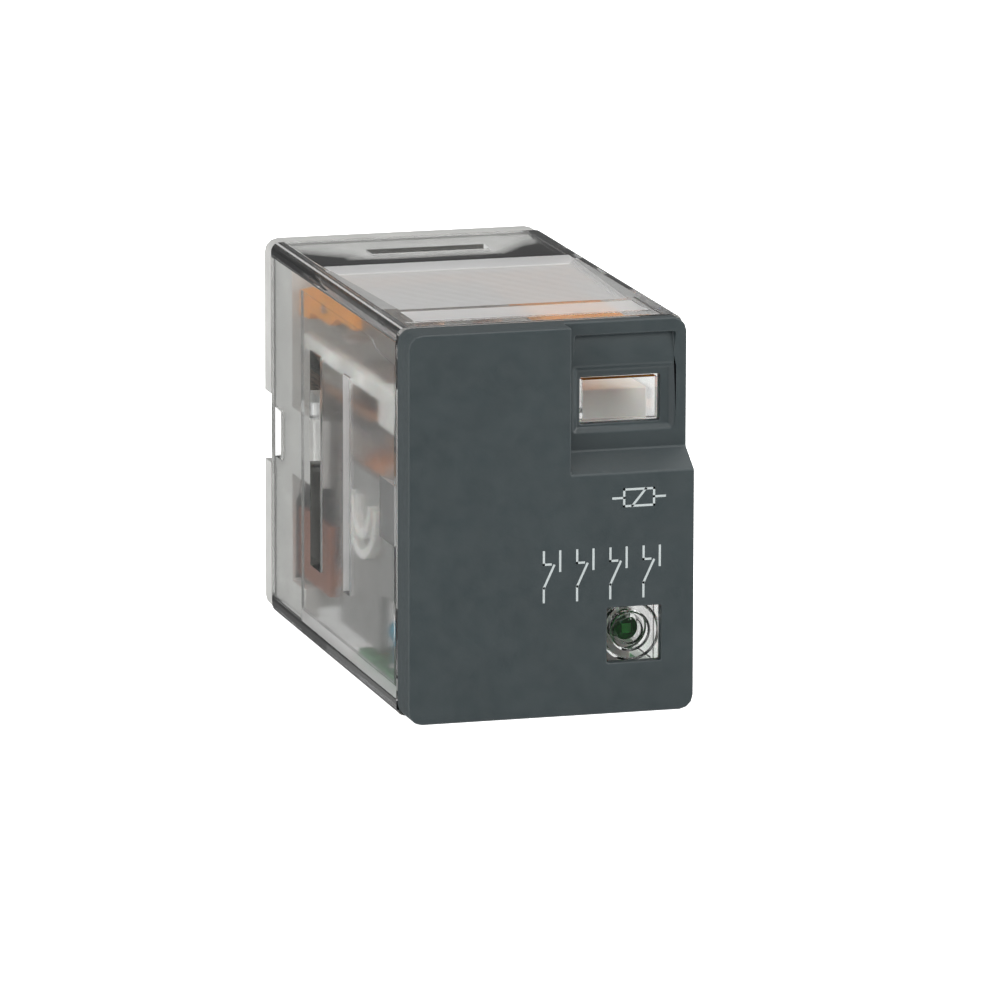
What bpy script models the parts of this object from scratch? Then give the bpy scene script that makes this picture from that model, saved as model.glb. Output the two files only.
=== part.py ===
"""Plug-in industrial relay: four changeover contacts in a clear case with a dark front cap.

Metres, +Z up. The front of the relay faces -Y, its blades point to +Y, and the
origin is the middle of the base's seating face. Depths inside are measured
forward from that face, so a depth d lies at y = -d.
"""
import math

import bmesh
import bpy
from mathutils import Matrix, Vector

MM = 0.001

# Overall size
WIDTH = 21.0 * MM
HEIGHT = 28.0 * MM
DEPTH = 40.3 * MM            # front face of the cap to the seating face
BLADE_LENGTH = 6.0 * MM      # blades beyond the seating face

# Fits
FIT = 0.2 * MM               # fixed pieces beside each other
RUN = 0.4 * MM               # moving pieces beside fixed ones

# Case
WALL = 1.0 * MM
EDGE_RADIUS = 0.66 * MM
VENT_WIDTHS = (2.9 * MM, 1.7 * MM)
VENT_DEPTHS = (14.6 * MM, 23.3 * MM)
VENT_LENGTH = 16.0 * MM
TOP_VENT = (9.0 * MM, 1.8 * MM, 7.5 * MM)      # length, width, depth of its middle
LATCH_HEIGHT = 3.7 * MM
LATCH_LENGTH = 1.7 * MM
LATCH_DEPTH = 3.85 * MM

# Front cap
SKIRT = 3.1 * MM
CAP_WALL = 0.9 * MM
CAP_RADIUS = 1.0 * MM
RECESS_DEPTH = 2.07 * MM
RECESS_WIDTH = 9.1 * MM      # from the right side
RECESS_HEIGHT = 9.3 * MM     # from the top, to where the ramp starts
RAMP_HEIGHT = 1.3 * MM
WINDOW_SIZE = (5.9 * MM, 3.35 * MM)
WINDOW_RIGHT = 1.9 * MM      # window's right edge to the cap's right side
WINDOW_TOP = 4.05 * MM
WINDOW_SINK = 0.35 * MM
POCKET_SIZE = (7.4 * MM, 1.6 * MM)
POCKET_SINK = 0.5 * MM
POCKET_EDGE = 1.0 * MM
LED_HOLE = 4.0 * MM
LED_RIGHT = 4.4 * MM         # middle of the LED hole to the right side
LED_RISE = 5.7 * MM          # middle of the LED hole to the bottom

# Base
FLANGE = 1.75 * MM
FLANGE_RADIUS = 1.0 * MM
NOTCH_HEIGHT = 5.2 * MM
BODY = 6.5 * MM              # front of the base's body
TONGUE_DEPTH = 12.5 * MM
TONGUE_HEIGHT = 5.0 * MM
LEDGE_DEPTH = 9.6 * MM
LEDGE_HEIGHT = 2.2 * MM
UPSTAND = 1.1 * MM           # thickness of the tongues and ledges beside the coil
POST_SIZE = (1.1 * MM, 1.8 * MM)
POST_DROP = 2.8 * MM         # underside of the posts below the case's ceiling
POST_RISE = 0.55 * MM        # least height of the posts above the upper blades
POST_END = 1.1 * MM          # posts beyond the middle of the pin

# Terminals and contacts
COLUMNS = 4
COLUMN_PITCH = 4.4 * MM
ROW_PITCH = 4.1 * MM
ROW_GAP = 6.35 * MM          # normally closed row to the common row
ROW_RISE = 1.8 * MM          # normally closed row above the yoke
BLADE_WIDTH = 2.3 * MM
BLADE_THICK = 0.5 * MM
TIP_CHAMFER = 0.5 * MM
CONTACT_DEPTH = 14.4 * MM
CONTACT_RADIUS = 0.95 * MM
CONTACT_HEAD = 0.4 * MM
SHANK_RADIUS = 0.5 * MM
CONTACT_GAP = 0.1 * MM
RIVET_FIT = 0.1 * MM         # hole round a rivet's shank
RIVET_SEAT = 0.04 * MM       # under a rivet's head
RIVET_TAIL = 0.2 * MM
BLADE_MARGIN = 0.7 * MM      # blade beyond its contact
COM_RISE = 1.2 * MM          # common terminals above the yoke
EAR_LENGTH = 3.0 * MM
TAB_HEIGHT = 5.0 * MM        # solder tabs below their blades
TAB_DEPTH = 14.8 * MM
TAB_CLEAR = 0.8 * MM         # solder tabs outside their blades
TAB_INSET = 1.4 * MM         # solder tabs inside the case's wall
SPRING_THICK = 0.2 * MM
SPRING_WIDTH = 2.4 * MM
SPRING_SET = 1.0 * MM        # springs behind the carrier's front
SPRING_NECK = 0.35 * MM      # narrowing on each side
NECK_DEPTH = 1.6 * MM        # from the contact's edge to the neck
SPRING_TIP = 0.3 * MM        # spring beyond its contact
BRAID_RADIUS = 0.42 * MM
BRAID_RUN = 2.5 * MM         # straight run beyond the contact
BRAID_STEPS = 6

# Coil and magnet
PLATE = 1.3 * MM             # yoke and armature sheet
FOOT_DEPTH = 8.6 * MM
COIL_RADIUS = 6.2 * MM
BARREL_RADIUS = 3.3 * MM
CORE_RADIUS = 2.5 * MM
BOBBIN_FLANGE = 1.0 * MM
BOBBIN_WIDTH = 13.4 * MM
BOBBIN_RIM = 0.5 * MM        # flanges beyond the winding
BOBBIN_CORNER = 1.5 * MM
BOARD_CLEARANCE = 0.6 * MM   # bobbin above the board
TAPE = 0.15 * MM
BARE_LENGTH = 5.5 * MM       # winding left bare behind the tape
LEAD_RADIUS = 0.12 * MM
TENON_RADIUS = 1.5 * MM
YOKE_WIDTH = 13.0 * MM
POLE_RADIUS = 4.2 * MM
POLE_THICK = 1.2 * MM
ARMATURE_WIDTH = 9.0 * MM
HINGE_SETBACK = 6.7 * MM     # hinge to the front face of the cap
ARMATURE_TRAVEL = 0.0785     # radians, open to pulled in
LEG_DROP = 1.6 * MM          # armature's leg below the pole
SHOULDER_DROP = 1.2 * MM     # armature's shoulders below the hinge
LEAF = 0.2 * MM
STRAP_LENGTH = 9.5 * MM
STRAP_RISE = 0.3 * MM

# Carrier and indicator
CARRIER_LENGTH = 5.0 * MM
CARRIER_HEIGHT = 2.9 * MM
ARM_WIDTH = 0.8 * MM
ARM_HEIGHT = 1.2 * MM
ARM_INSET = 1.1 * MM         # middle of the arms inside the case's wall
ARM_GAP = 1.1 * MM           # arms in front of the base's body
CARRIER_SETBACK = 0.3 * MM   # carrier's front behind the hinge
PIVOT_DEPTH = 13.5 * MM
PIN_RADIUS = 0.4 * MM
LEVER_THICK = 0.6 * MM
LEVER_GAP = 0.25 * MM        # lever under the case's ceiling
TAIL_GAP = 0.5 * MM          # lever's tails in front of the base's body
TAIL_DROP = 1.4 * MM         # tails' upper edge below the lever's top
TAIL_TOE = (1.8 * MM, 2.4 * MM)
BRIDGE = (1.5 * MM, 5.0 * MM)          # bridge's edges in front of the pin
CREST = 0.5 * MM             # top of the side plates behind the pin, which turns up under the case
PLATE_DROP = 1.0 * MM        # side plates below the pin
FLAG_SETBACK = 1.0 * MM      # flag in front of the hinge
FLAG_INSET = 0.6 * MM        # flag inside the case's wall
FLAG_SHOW = 0.25 * MM        # flag's lower edge below the window's top at rest
FLAG_ARM = (1.4 * MM, 1.9 * MM)        # arm beyond the flag's left, inside its right
FLAG_WIDTH = 6.5 * MM
FLAG_THICK = 0.8 * MM
LOST_MOTION = 1.2 * MM       # tail of the lever above the carrier's arm at rest

# Indicator light
BOARD = 0.75 * MM
BOARD_LENGTH = 12.5 * MM
BOARD_INSET = 0.4 * MM
LED_RADIUS = 0.9 * MM
LED_COLLAR = (0.2 * MM, 0.4 * MM)      # LED's collar: beyond its side, thickness
HOLDER_WALL = 0.25 * MM
HOLDER_DEPTH = 1.3 * MM
HOLDER_SETBACK = 0.8 * MM    # holder behind the board's front edge
AXIAL_SPLIT = 6.0 * MM       # where the resistor starts and the diode ends
RESISTOR_EDGE = 0.6 * MM     # leads to the board's edge
RESISTOR_RADIUS = 0.95 * MM
RESISTOR_HEIGHT = 2.9 * MM
DIODE_EDGE = 0.8 * MM
DIODE_RADIUS = 0.75 * MM
DIODE_HEIGHT = 2.0 * MM
DIODE_GAP = 0.4 * MM         # diode beside the bobbin
WIRE_RADIUS = 0.22 * MM
LEAD_RUN = 1.1 * MM          # straight lead beside each body
BODY_ROUND = 0.2 * MM        # rounded ends of each body
BODY_STEP = 0.02 * MM

# Levels and planes that follow from the sizes above
SIDE = WIDTH / 2
TOP = HEIGHT / 2
INNER_SIDE = SIDE - WALL
INNER_TOP = TOP - WALL
SHOULDER = DEPTH - SKIRT - FIT
HINGE_DEPTH = DEPTH - HINGE_SETBACK
BOARD_TOP = -INNER_TOP + FIT + BOARD
BOBBIN_HALF = COIL_RADIUS + BOBBIN_RIM
COIL_Z = BOARD_TOP + BOARD_CLEARANCE + BOBBIN_HALF
YOKE_BOTTOM = COIL_Z + BOBBIN_HALF + FIT
YOKE_TOP = YOKE_BOTTOM + PLATE
HINGE_Z = YOKE_BOTTOM + PLATE / 2
NC_Z = YOKE_TOP + ROW_RISE
NO_Z = NC_Z + ROW_PITCH
COM_Z = NC_Z - ROW_GAP
COIL_ROW_Z = COM_Z - ROW_PITCH
SPRING_Z = NC_Z + BLADE_THICK / 2 + 2 * CONTACT_HEAD + CONTACT_GAP + SPRING_THICK / 2
CARRIER_BOTTOM = YOKE_TOP + RUN + PLATE + FIT
CARRIER_FRONT = HINGE_DEPTH - CARRIER_SETBACK
ARM_X = INNER_SIDE - ARM_INSET
ARM_TOP = CARRIER_BOTTOM + CARRIER_HEIGHT
POST_X = ARM_X - ARM_WIDTH / 2 - RUN - POST_SIZE[0] / 2
POST_FOOT = max(NO_Z + BLADE_THICK / 2 + POST_RISE, INNER_TOP - POST_DROP)
POST_Z = POST_FOOT + POST_SIZE[1] / 2
PIVOT_Z = POST_Z
LEVER_TOP = INNER_TOP - LEVER_GAP
WINDOW_X = SIDE - WINDOW_RIGHT - WINDOW_SIZE[0] / 2
WINDOW_Z = TOP - WINDOW_TOP - WINDOW_SIZE[1] / 2
LED_X = SIDE - LED_RIGHT
LED_Z = -TOP + LED_RISE

UPRIGHT = (math.pi / 2, 0, math.pi / 2)        # turns a flat outline into the YZ plane
WELD = 0.00001

parts = None
cutters = None


def start_scene():
    """Empty the scene and make the two collections."""
    global parts, cutters
    for old in list(bpy.data.objects):
        bpy.data.objects.remove(old)
    parts = bpy.data.collections.new("control_relay")
    cutters = bpy.data.collections.new("cutters")
    bpy.context.scene.collection.children.link(parts)
    bpy.context.scene.collection.children.link(cutters)


def finish(name, color, roughness, metallic=0.0, alpha=1.0):
    """A Principled material."""
    material = bpy.data.materials.new(name)
    material.use_nodes = True
    shader = material.node_tree.nodes["Principled BSDF"]
    shader.inputs["Base Color"].default_value = (*color, 1.0)
    shader.inputs["Roughness"].default_value = roughness
    shader.inputs["Metallic"].default_value = metallic
    shader.inputs["Alpha"].default_value = alpha
    return material


def axis_empty(name, y, z):
    """An empty on a joint's axis, which runs along X."""
    empty = bpy.data.objects.new(name, None)
    empty.location = (0, y, z)
    parts.objects.link(empty)
    return empty


def link_part(obj, material, parent=None):
    """Put a finished shape in the model, with its origin on its joint's axis if it moves."""
    obj.data.materials.append(material)
    parts.objects.link(obj)
    if parent is not None:
        place = obj.location.copy()
        obj.parent = parent
        obj.location = place - parent.location
    return obj


def box(name, x, y, z, radius=0.0, axis=1):
    """A box between pairs of coordinates; a radius rounds the edges along one axis."""
    low = Vector((min(x), min(y), min(z)))
    high = Vector((max(x), max(y), max(z)))
    mesh = bpy.data.meshes.new(name)
    shape = bmesh.new()
    bmesh.ops.create_cube(shape, size=1.0)
    bmesh.ops.scale(shape, vec=high - low, verts=shape.verts)
    if radius > 0:
        edges = [e for e in shape.edges
                 if abs((e.verts[0].co - e.verts[1].co)[axis]) > radius]
        bmesh.ops.bevel(shape, geom=edges, offset=radius, offset_type="OFFSET", segments=3,
                        profile=0.5, affect="EDGES")
    shape.to_mesh(mesh)
    shape.free()
    obj = bpy.data.objects.new(name, mesh)
    obj.location = (low + high) / 2
    return obj


def rod(name, radius, length, place, axis="Y", sides=24):
    """A cylinder along an axis, about its middle."""
    mesh = bpy.data.meshes.new(name)
    shape = bmesh.new()
    bmesh.ops.create_cone(shape, cap_ends=True, segments=sides, radius1=radius, radius2=radius,
                          depth=length)
    turn = {"X": Matrix.Rotation(math.pi / 2, 4, "Y"),
            "Y": Matrix.Rotation(math.pi / 2, 4, "X"),
            "Z": Matrix.Identity(4)}[axis]
    bmesh.ops.transform(shape, matrix=turn, verts=shape.verts)
    shape.to_mesh(mesh)
    shape.free()
    mesh.shade_smooth()
    mesh.set_sharp_from_angle(angle=math.radians(40))
    obj = bpy.data.objects.new(name, mesh)
    obj.location = place
    return obj


def cutter(obj):
    """Turn a shape into a tool that cuts others."""
    obj.hide_render = True
    obj.display_type = "WIRE"
    cutters.objects.link(obj)
    return obj


def combine(target, tools, operation="DIFFERENCE"):
    """Cut tools out of a shape, or join them to it."""
    for tool in tools:
        modifier = target.modifiers.new(tool.name, "BOOLEAN")
        modifier.operation = operation
        modifier.solver = "EXACT"
        modifier.object = cutter(tool)
    return target


def flat_plate(name, outline, thickness, place, holes=(), turn=(0, 0, 0)):
    """A sheet piece from its outline, with round holes given as (x, y, radius)."""
    curve = bpy.data.curves.new(name, "CURVE")
    curve.dimensions = "2D"
    curve.fill_mode = "BOTH"
    curve.extrude = thickness / 2
    loops = [outline]
    loops += [[(x + r * math.cos(a), y + r * math.sin(a)) for a in ring(12)] for x, y, r in holes]
    for loop in loops:
        spline = curve.splines.new("POLY")
        spline.points.add(len(loop) - 1)
        spline.use_cyclic_u = True
        for point, (u, v) in zip(spline.points, loop):
            point.co = (u, v, 0, 1)
    obj = bpy.data.objects.new(name, curve)
    obj.location = place
    obj.rotation_euler = turn
    return obj


def ring(count):
    """Evenly spaced angles round a circle."""
    return [2 * math.pi * i / count for i in range(count)]


def wire(name, path, radius, swell=None):
    """A round wire along world points, with a factor on the radius at each point."""
    curve = bpy.data.curves.new(name, "CURVE")
    curve.dimensions = "3D"
    curve.bevel_depth = radius
    curve.bevel_resolution = 2
    curve.use_fill_caps = True
    spline = curve.splines.new("POLY")
    spline.points.add(len(path) - 1)
    for i, (point, place) in enumerate(zip(spline.points, path)):
        point.co = (*place, 1)
        point.radius = swell[i] if swell else 1.0
    return bpy.data.objects.new(name, curve)


def turned(name, profile, place, axis="Y", steps=24):
    """A solid of revolution; the profile lists (radius, height) from top to bottom."""
    mesh = bpy.data.meshes.new(name)
    shape = bmesh.new()
    verts = [shape.verts.new((radius, 0, height)) for radius, height in profile]
    for a, b in zip(verts, verts[1:]):
        shape.edges.new((a, b))
    shape.to_mesh(mesh)
    shape.free()
    obj = bpy.data.objects.new(name, mesh)
    screw = obj.modifiers.new("turn", "SCREW")
    screw.axis = "Z"
    screw.steps = steps
    screw.render_steps = steps
    screw.use_merge_vertices = True
    screw.merge_threshold = WELD
    obj.location = place
    if axis == "Y":
        obj.rotation_euler = (math.pi / 2, 0, 0)
    return obj


def column_x(index):
    """Middle of a column of blades."""
    return (index - (COLUMNS - 1) / 2) * COLUMN_PITCH


def make_case(clear):
    """The clear case: open at the back, with a stepped front that the cap grips."""
    step_x = SIDE - RECESS_WIDTH - CAP_WALL - FIT
    step_z = TOP - RECESS_HEIGHT - RAMP_HEIGHT - CAP_WALL - FIT
    rim_side = SIDE - CAP_WALL - FIT
    rim_top = TOP - CAP_WALL - FIT
    rim_front = -(DEPTH - CAP_WALL - FIT)
    overlap = -(SHOULDER - WALL / 2)
    case = box("case", (-SIDE, SIDE), (-SHOULDER, -FLANGE - FIT), (-TOP, TOP), EDGE_RADIUS)
    rims = [box("case_rim_left", (-rim_side, step_x), (rim_front, overlap), (-rim_top, rim_top)),
            box("case_rim_low", (-rim_side, rim_side), (rim_front, overlap), (-rim_top, step_z))]
    pad_sink = -(DEPTH - RECESS_DEPTH - WINDOW_SINK)
    pad_x = WINDOW_SIZE[0] / 2 - FIT
    pad_z = WINDOW_SIZE[1] / 2 - FIT
    pad = box("case_window", (WINDOW_X - pad_x, WINDOW_X + pad_x), (pad_sink, overlap),
              (WINDOW_Z - pad_z, WINDOW_Z + pad_z))
    combine(case, rims + [pad], "UNION")
    hollow = box("case_hollow", (-INNER_SIDE, INNER_SIDE), (-(SHOULDER - WALL), WALL),
                 (-INNER_TOP, INNER_TOP))
    front_in = rim_front + WALL
    rim_in = rim_side - CAP_WALL
    top_in = rim_top - CAP_WALL
    deep = -(SHOULDER - 2 * WALL)
    pockets = [box("rim_hollow_left", (-rim_in, step_x - WALL), (front_in, deep), (-top_in, top_in)),
               box("rim_hollow_low", (-rim_in, rim_in), (front_in, deep), (-top_in, step_z - WALL))]
    vents = []
    for i, (width, depth) in enumerate(zip(VENT_WIDTHS, VENT_DEPTHS)):
        vents.append(box(f"vent_{i}", (-WIDTH, WIDTH), (-depth - width / 2, -depth + width / 2),
                         (-VENT_LENGTH / 2, VENT_LENGTH / 2)))
    length, width, depth = TOP_VENT
    vents.append(box("top_vent", (-length / 2, length / 2), (-depth - width / 2, -depth + width / 2),
                     (INNER_TOP - WALL, TOP + WALL)))
    vents.append(box("latch_window", (-WIDTH, WIDTH),
                     (-LATCH_DEPTH - LATCH_LENGTH / 2, -LATCH_DEPTH + LATCH_LENGTH / 2),
                     (-LATCH_HEIGHT / 2, LATCH_HEIGHT / 2)))
    combine(case, [hollow] + pockets + vents)
    link_part(case, clear)


def make_cap(slate):
    """The front cap: a shallow cover with a recessed corner, a window and an LED hole."""
    front = -DEPTH
    cap = box("front_cap", (-SIDE, SIDE), (front, front + SKIRT), (-TOP, TOP), CAP_RADIUS)
    recess_x = SIDE - RECESS_WIDTH
    recess_z = TOP - RECESS_HEIGHT
    floor = front + RECESS_DEPTH
    beyond = 2 * WALL
    slope = RECESS_DEPTH / RAMP_HEIGHT
    outline = [(floor, recess_z), (floor, TOP + beyond), (front - beyond, TOP + beyond),
               (front - beyond, recess_z - (RECESS_DEPTH + beyond) / slope)]
    length = RECESS_WIDTH + beyond
    recess = side_block("recess", outline, length, recess_x + length / 2)
    inner_side = SIDE - CAP_WALL
    inner_top = TOP - CAP_WALL
    inner_front = front + CAP_WALL
    back = front + SKIRT + WALL
    hollows = [box("cap_hollow_left", (-inner_side, recess_x - CAP_WALL), (inner_front, back),
                   (-inner_top, inner_top)),
               box("cap_hollow_low", (-inner_side, inner_side), (inner_front, back),
                   (-inner_top, recess_z - RAMP_HEIGHT - CAP_WALL))]
    window = box("cap_window", (WINDOW_X - WINDOW_SIZE[0] / 2, WINDOW_X + WINDOW_SIZE[0] / 2),
                 (front, back), (WINDOW_Z - WINDOW_SIZE[1] / 2, WINDOW_Z + WINDOW_SIZE[1] / 2))
    led_hole = box("cap_led_hole", (LED_X - LED_HOLE / 2, LED_X + LED_HOLE / 2),
                   (front - WALL, back), (LED_Z - LED_HOLE / 2, LED_Z + LED_HOLE / 2))
    pocket_top = TOP - POCKET_EDGE
    sink = floor + POCKET_SINK
    pocket_outline = [(floor - WALL, pocket_top), (sink, pocket_top),
                      (floor, pocket_top - POCKET_SIZE[1]),
                      (floor - WALL, pocket_top - POCKET_SIZE[1])]
    pocket = side_block("finger_pocket", pocket_outline, POCKET_SIZE[0],
                        SIDE - RECESS_WIDTH / 2)
    combine(cap, [recess] + hollows + [window, led_hole, pocket])
    link_part(cap, slate)


def side_block(name, outline, length, x):
    """A block with a given outline in the YZ plane, made a mesh that can be cut or joined."""
    plate = flat_plate(name, outline, length, (x, 0, 0), turn=UPRIGHT)
    parts.objects.link(plate)
    bpy.context.view_layer.update()
    mesh = bpy.data.meshes.new_from_object(plate.evaluated_get(
        bpy.context.evaluated_depsgraph_get()))
    shape = bmesh.new()
    shape.from_mesh(mesh)
    bmesh.ops.remove_doubles(shape, verts=shape.verts, dist=WELD)
    shape.to_mesh(mesh)
    shape.free()
    place = plate.matrix_world.copy()
    bpy.data.objects.remove(plate)
    obj = bpy.data.objects.new(name, mesh)
    obj.matrix_world = place
    return obj


def make_base(grey):
    """The base: a flange, a body inside the case, posts for the pin and slots for blades."""
    body_x = INNER_SIDE - FIT
    body_z = INNER_TOP - FIT
    base = box("base", (-SIDE, SIDE), (-FLANGE, 0), (-TOP, TOP), FLANGE_RADIUS)
    root = -FLANGE / 2
    inner_x = body_x - UPSTAND
    blocks = [box("base_body", (-body_x, body_x), (-BODY, root), (-body_z, body_z))]
    stand = -(BODY - WALL)
    for side in (-1, 1):
        word = "left" if side < 0 else "right"
        blocks.append(box(f"tongue_{word}", (side * inner_x, side * body_x),
                          (-TONGUE_DEPTH, stand), (-TONGUE_HEIGHT / 2, TONGUE_HEIGHT / 2)))
        blocks.append(box(f"ledge_{word}", (side * inner_x, side * body_x),
                          (-LEDGE_DEPTH, stand), (-body_z, -body_z + LEDGE_HEIGHT)))
        post = side * POST_X
        blocks.append(box(f"post_{word}", (post - POST_SIZE[0] / 2, post + POST_SIZE[0] / 2),
                          (-PIVOT_DEPTH - POST_END, stand),
                          (POST_Z - POST_SIZE[1] / 2, POST_Z + POST_SIZE[1] / 2)))
        blocks.append(box(f"nub_{word}", (side * inner_x, side * (SIDE - FIT)),
                          (-LATCH_DEPTH - LATCH_LENGTH / 2 + FIT,
                           -LATCH_DEPTH + LATCH_LENGTH / 2 - FIT),
                          (-LATCH_HEIGHT / 2 + FIT, LATCH_HEIGHT / 2 - FIT)))
    for i in range(COLUMNS - 1):
        middle = column_x(i) + COLUMN_PITCH / 2
        half = (COLUMN_PITCH - BLADE_WIDTH) / 2 - 2 * FIT
        blocks.append(box(f"standoff_{i}", (middle - half, middle + half),
                          (-FOOT_DEPTH + FIT, stand), (COIL_Z - CORE_RADIUS, YOKE_BOTTOM)))
    combine(base, blocks, "UNION")
    notch_in = SIDE - WALL
    slots = [box("notch_left", (-SIDE - WALL, -notch_in), (-FLANGE - FIT, WALL),
                 (-NOTCH_HEIGHT / 2, NOTCH_HEIGHT / 2)),
             box("notch_right", (notch_in, SIDE + WALL), (-FLANGE - FIT, WALL),
                 (-NOTCH_HEIGHT / 2, NOTCH_HEIGHT / 2))]
    half_w = BLADE_WIDTH / 2 + FIT
    half_t = BLADE_THICK / 2 + FIT
    for row, z in enumerate((NC_Z, NO_Z, COM_Z, COIL_ROW_Z)):
        for i in used_columns(row):
            x = column_x(i)
            slots.append(box(f"slot_{row}_{i}", (x - half_w, x + half_w), (-BODY - WALL, WALL),
                             (z - half_t, z + half_t)))
    for side in (-1, 1):
        low, high = coil_tab_levels()
        x = side * coil_tab_x()
        half = BLADE_THICK / 2 + FIT
        slots.append(box(f"tab_slot_{side}", (x - half, x + half),
                         (-TAB_DEPTH - WALL, -FLANGE - FIT), (low - FIT, high + 2 * FIT)))
        slots.append(box(f"ear_slot_{side}", (side * column_x(COLUMNS - 1), x),
                         (-BODY - WALL, -FLANGE - FIT), (COIL_ROW_Z - half_t, COIL_ROW_Z + half_t)))
    slots.append(rod("pin_hole", PIN_RADIUS + FIT, WIDTH, (0, -PIVOT_DEPTH, PIVOT_Z), "X"))
    combine(base, slots)
    link_part(base, grey)


def used_columns(row):
    """The coil row has blades in its outer columns only."""
    return (0, COLUMNS - 1) if row == 3 else range(COLUMNS)


def coil_tab_x():
    """Distance of the coil terminals' solder tabs from the middle."""
    return max(column_x(COLUMNS - 1) + BLADE_WIDTH / 2 + TAB_CLEAR, INNER_SIDE - TAB_INSET)


def coil_tab_levels():
    """Lowest and highest edge of the coil terminals' solder tabs."""
    return COIL_ROW_Z - TAB_HEIGHT, COIL_ROW_Z + BLADE_THICK / 2


def blade_outline(inner):
    """Outline of a straight terminal in the XY plane, from its inner end to its tip."""
    half = BLADE_WIDTH / 2
    return [(-half, -inner), (half, -inner), (half, BLADE_LENGTH - TIP_CHAMFER),
            (half - TIP_CHAMFER, BLADE_LENGTH), (-half + TIP_CHAMFER, BLADE_LENGTH),
            (-half, BLADE_LENGTH - TIP_CHAMFER)]


def make_fixed_contacts(tin, silver):
    """The normally closed and normally open terminals, each with its riveted contact."""
    inner = CONTACT_DEPTH + CONTACT_RADIUS + BLADE_MARGIN
    for name, z, facing in (("nc", NC_Z, 1), ("no", NO_Z, -1)):
        for i in range(COLUMNS):
            x = column_x(i)
            hole = (0, -CONTACT_DEPTH, SHANK_RADIUS + RIVET_FIT)
            link_part(flat_plate(f"{name}_terminal_{i + 1}", blade_outline(inner), BLADE_THICK,
                                 (x, 0, z), [hole]), tin)
            seat = BLADE_THICK / 2 + RIVET_SEAT
            head = BLADE_THICK / 2 + CONTACT_HEAD
            tail = -BLADE_THICK / 2 - RIVET_TAIL
            profile = [(0, head), (CONTACT_RADIUS, head), (CONTACT_RADIUS, seat),
                       (SHANK_RADIUS, seat), (SHANK_RADIUS, tail), (0, tail)]
            rivet = turned(f"{name}_contact_{i + 1}", profile, (x, -CONTACT_DEPTH, z), "Z", 16)
            if facing < 0:
                rivet.rotation_euler = (math.pi, 0, 0)
            link_part(rivet, silver)


def make_common_terminals(tin):
    """The common terminals: a blade that turns up in front of the base to meet its braid."""
    half = BLADE_THICK / 2
    riser = BODY + FIT
    top = YOKE_TOP + COM_RISE
    for i in range(COLUMNS):
        outline = [(BLADE_LENGTH, -half + TIP_CHAMFER / 3), (BLADE_LENGTH, half - TIP_CHAMFER / 3),
                   (BLADE_LENGTH - TIP_CHAMFER, half), (-riser, half),
                   (-riser, top - COM_Z), (-riser - BLADE_THICK, top - COM_Z),
                   (-riser - BLADE_THICK, -half), (BLADE_LENGTH - TIP_CHAMFER, -half)]
        link_part(flat_plate(f"com_terminal_{i + 1}", outline, BLADE_WIDTH,
                             (column_x(i), 0, COM_Z), turn=UPRIGHT), tin)


def make_coil_terminals(tin):
    """The coil terminals: a blade with an upright solder tab beside the coil."""
    low, high = coil_tab_levels()
    half = BLADE_THICK / 2
    for side, word in ((-1, "left"), (1, "right")):
        x = side * column_x(COLUMNS - 1)
        tab = side * coil_tab_x()
        near = -FLANGE - 2 * FIT
        blade = box(f"coil_terminal_{word}", (x - BLADE_WIDTH / 2, x + BLADE_WIDTH / 2),
                    (near - EAR_LENGTH, BLADE_LENGTH), (COIL_ROW_Z - half, COIL_ROW_Z + half))
        ear = box(f"ear_{word}", (x, tab + side * half), (near - EAR_LENGTH, near),
                  (COIL_ROW_Z - half, COIL_ROW_Z + half))
        upright = box(f"upright_{word}", (tab - half, tab + half),
                      (-TAB_DEPTH, near), (low, high))
        combine(blade, [ear, upright], "UNION")
        link_part(blade, tin)


def make_coil(plastic, copper, tape):
    """Bobbin, winding and the tape round its front half, on an axis along Y."""
    back = FOOT_DEPTH + PLATE + FIT
    front = HINGE_DEPTH - FIT - POLE_THICK - FIT
    length = front - back
    middle = (0, -(back + front) / 2, COIL_Z)
    half_x = BOBBIN_WIDTH / 2
    levels = (COIL_Z - BOBBIN_HALF, COIL_Z + BOBBIN_HALF)
    bobbin = rod("bobbin", BARREL_RADIUS, length, middle)
    ends = [box("bobbin_back", (-half_x, half_x), (-back - BOBBIN_FLANGE, -back), levels,
                BOBBIN_CORNER),
            box("bobbin_front", (-half_x, half_x), (-front, -front + BOBBIN_FLANGE), levels,
                BOBBIN_CORNER)]
    combine(bobbin, ends, "UNION")
    combine(bobbin, [rod("bobbin_bore", CORE_RADIUS + FIT, length * 2, middle)])
    link_part(bobbin, plastic)

    inside = length / 2 - BOBBIN_FLANGE - FIT
    hole = BARREL_RADIUS + FIT
    ring_profile = [(hole, inside), (COIL_RADIUS, inside), (COIL_RADIUS, -inside), (hole, -inside),
                    (hole, inside)]
    link_part(turned("coil_winding", ring_profile, middle, "Y", 32), copper)
    tape_in = COIL_RADIUS + FIT / 2
    end = -inside + BARE_LENGTH
    profile = [(tape_in, inside), (tape_in + TAPE, inside), (tape_in + TAPE, end), (tape_in, end),
               (tape_in, inside)]
    link_part(turned("coil_tape", profile, middle, "Y", 32), tape)


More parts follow.
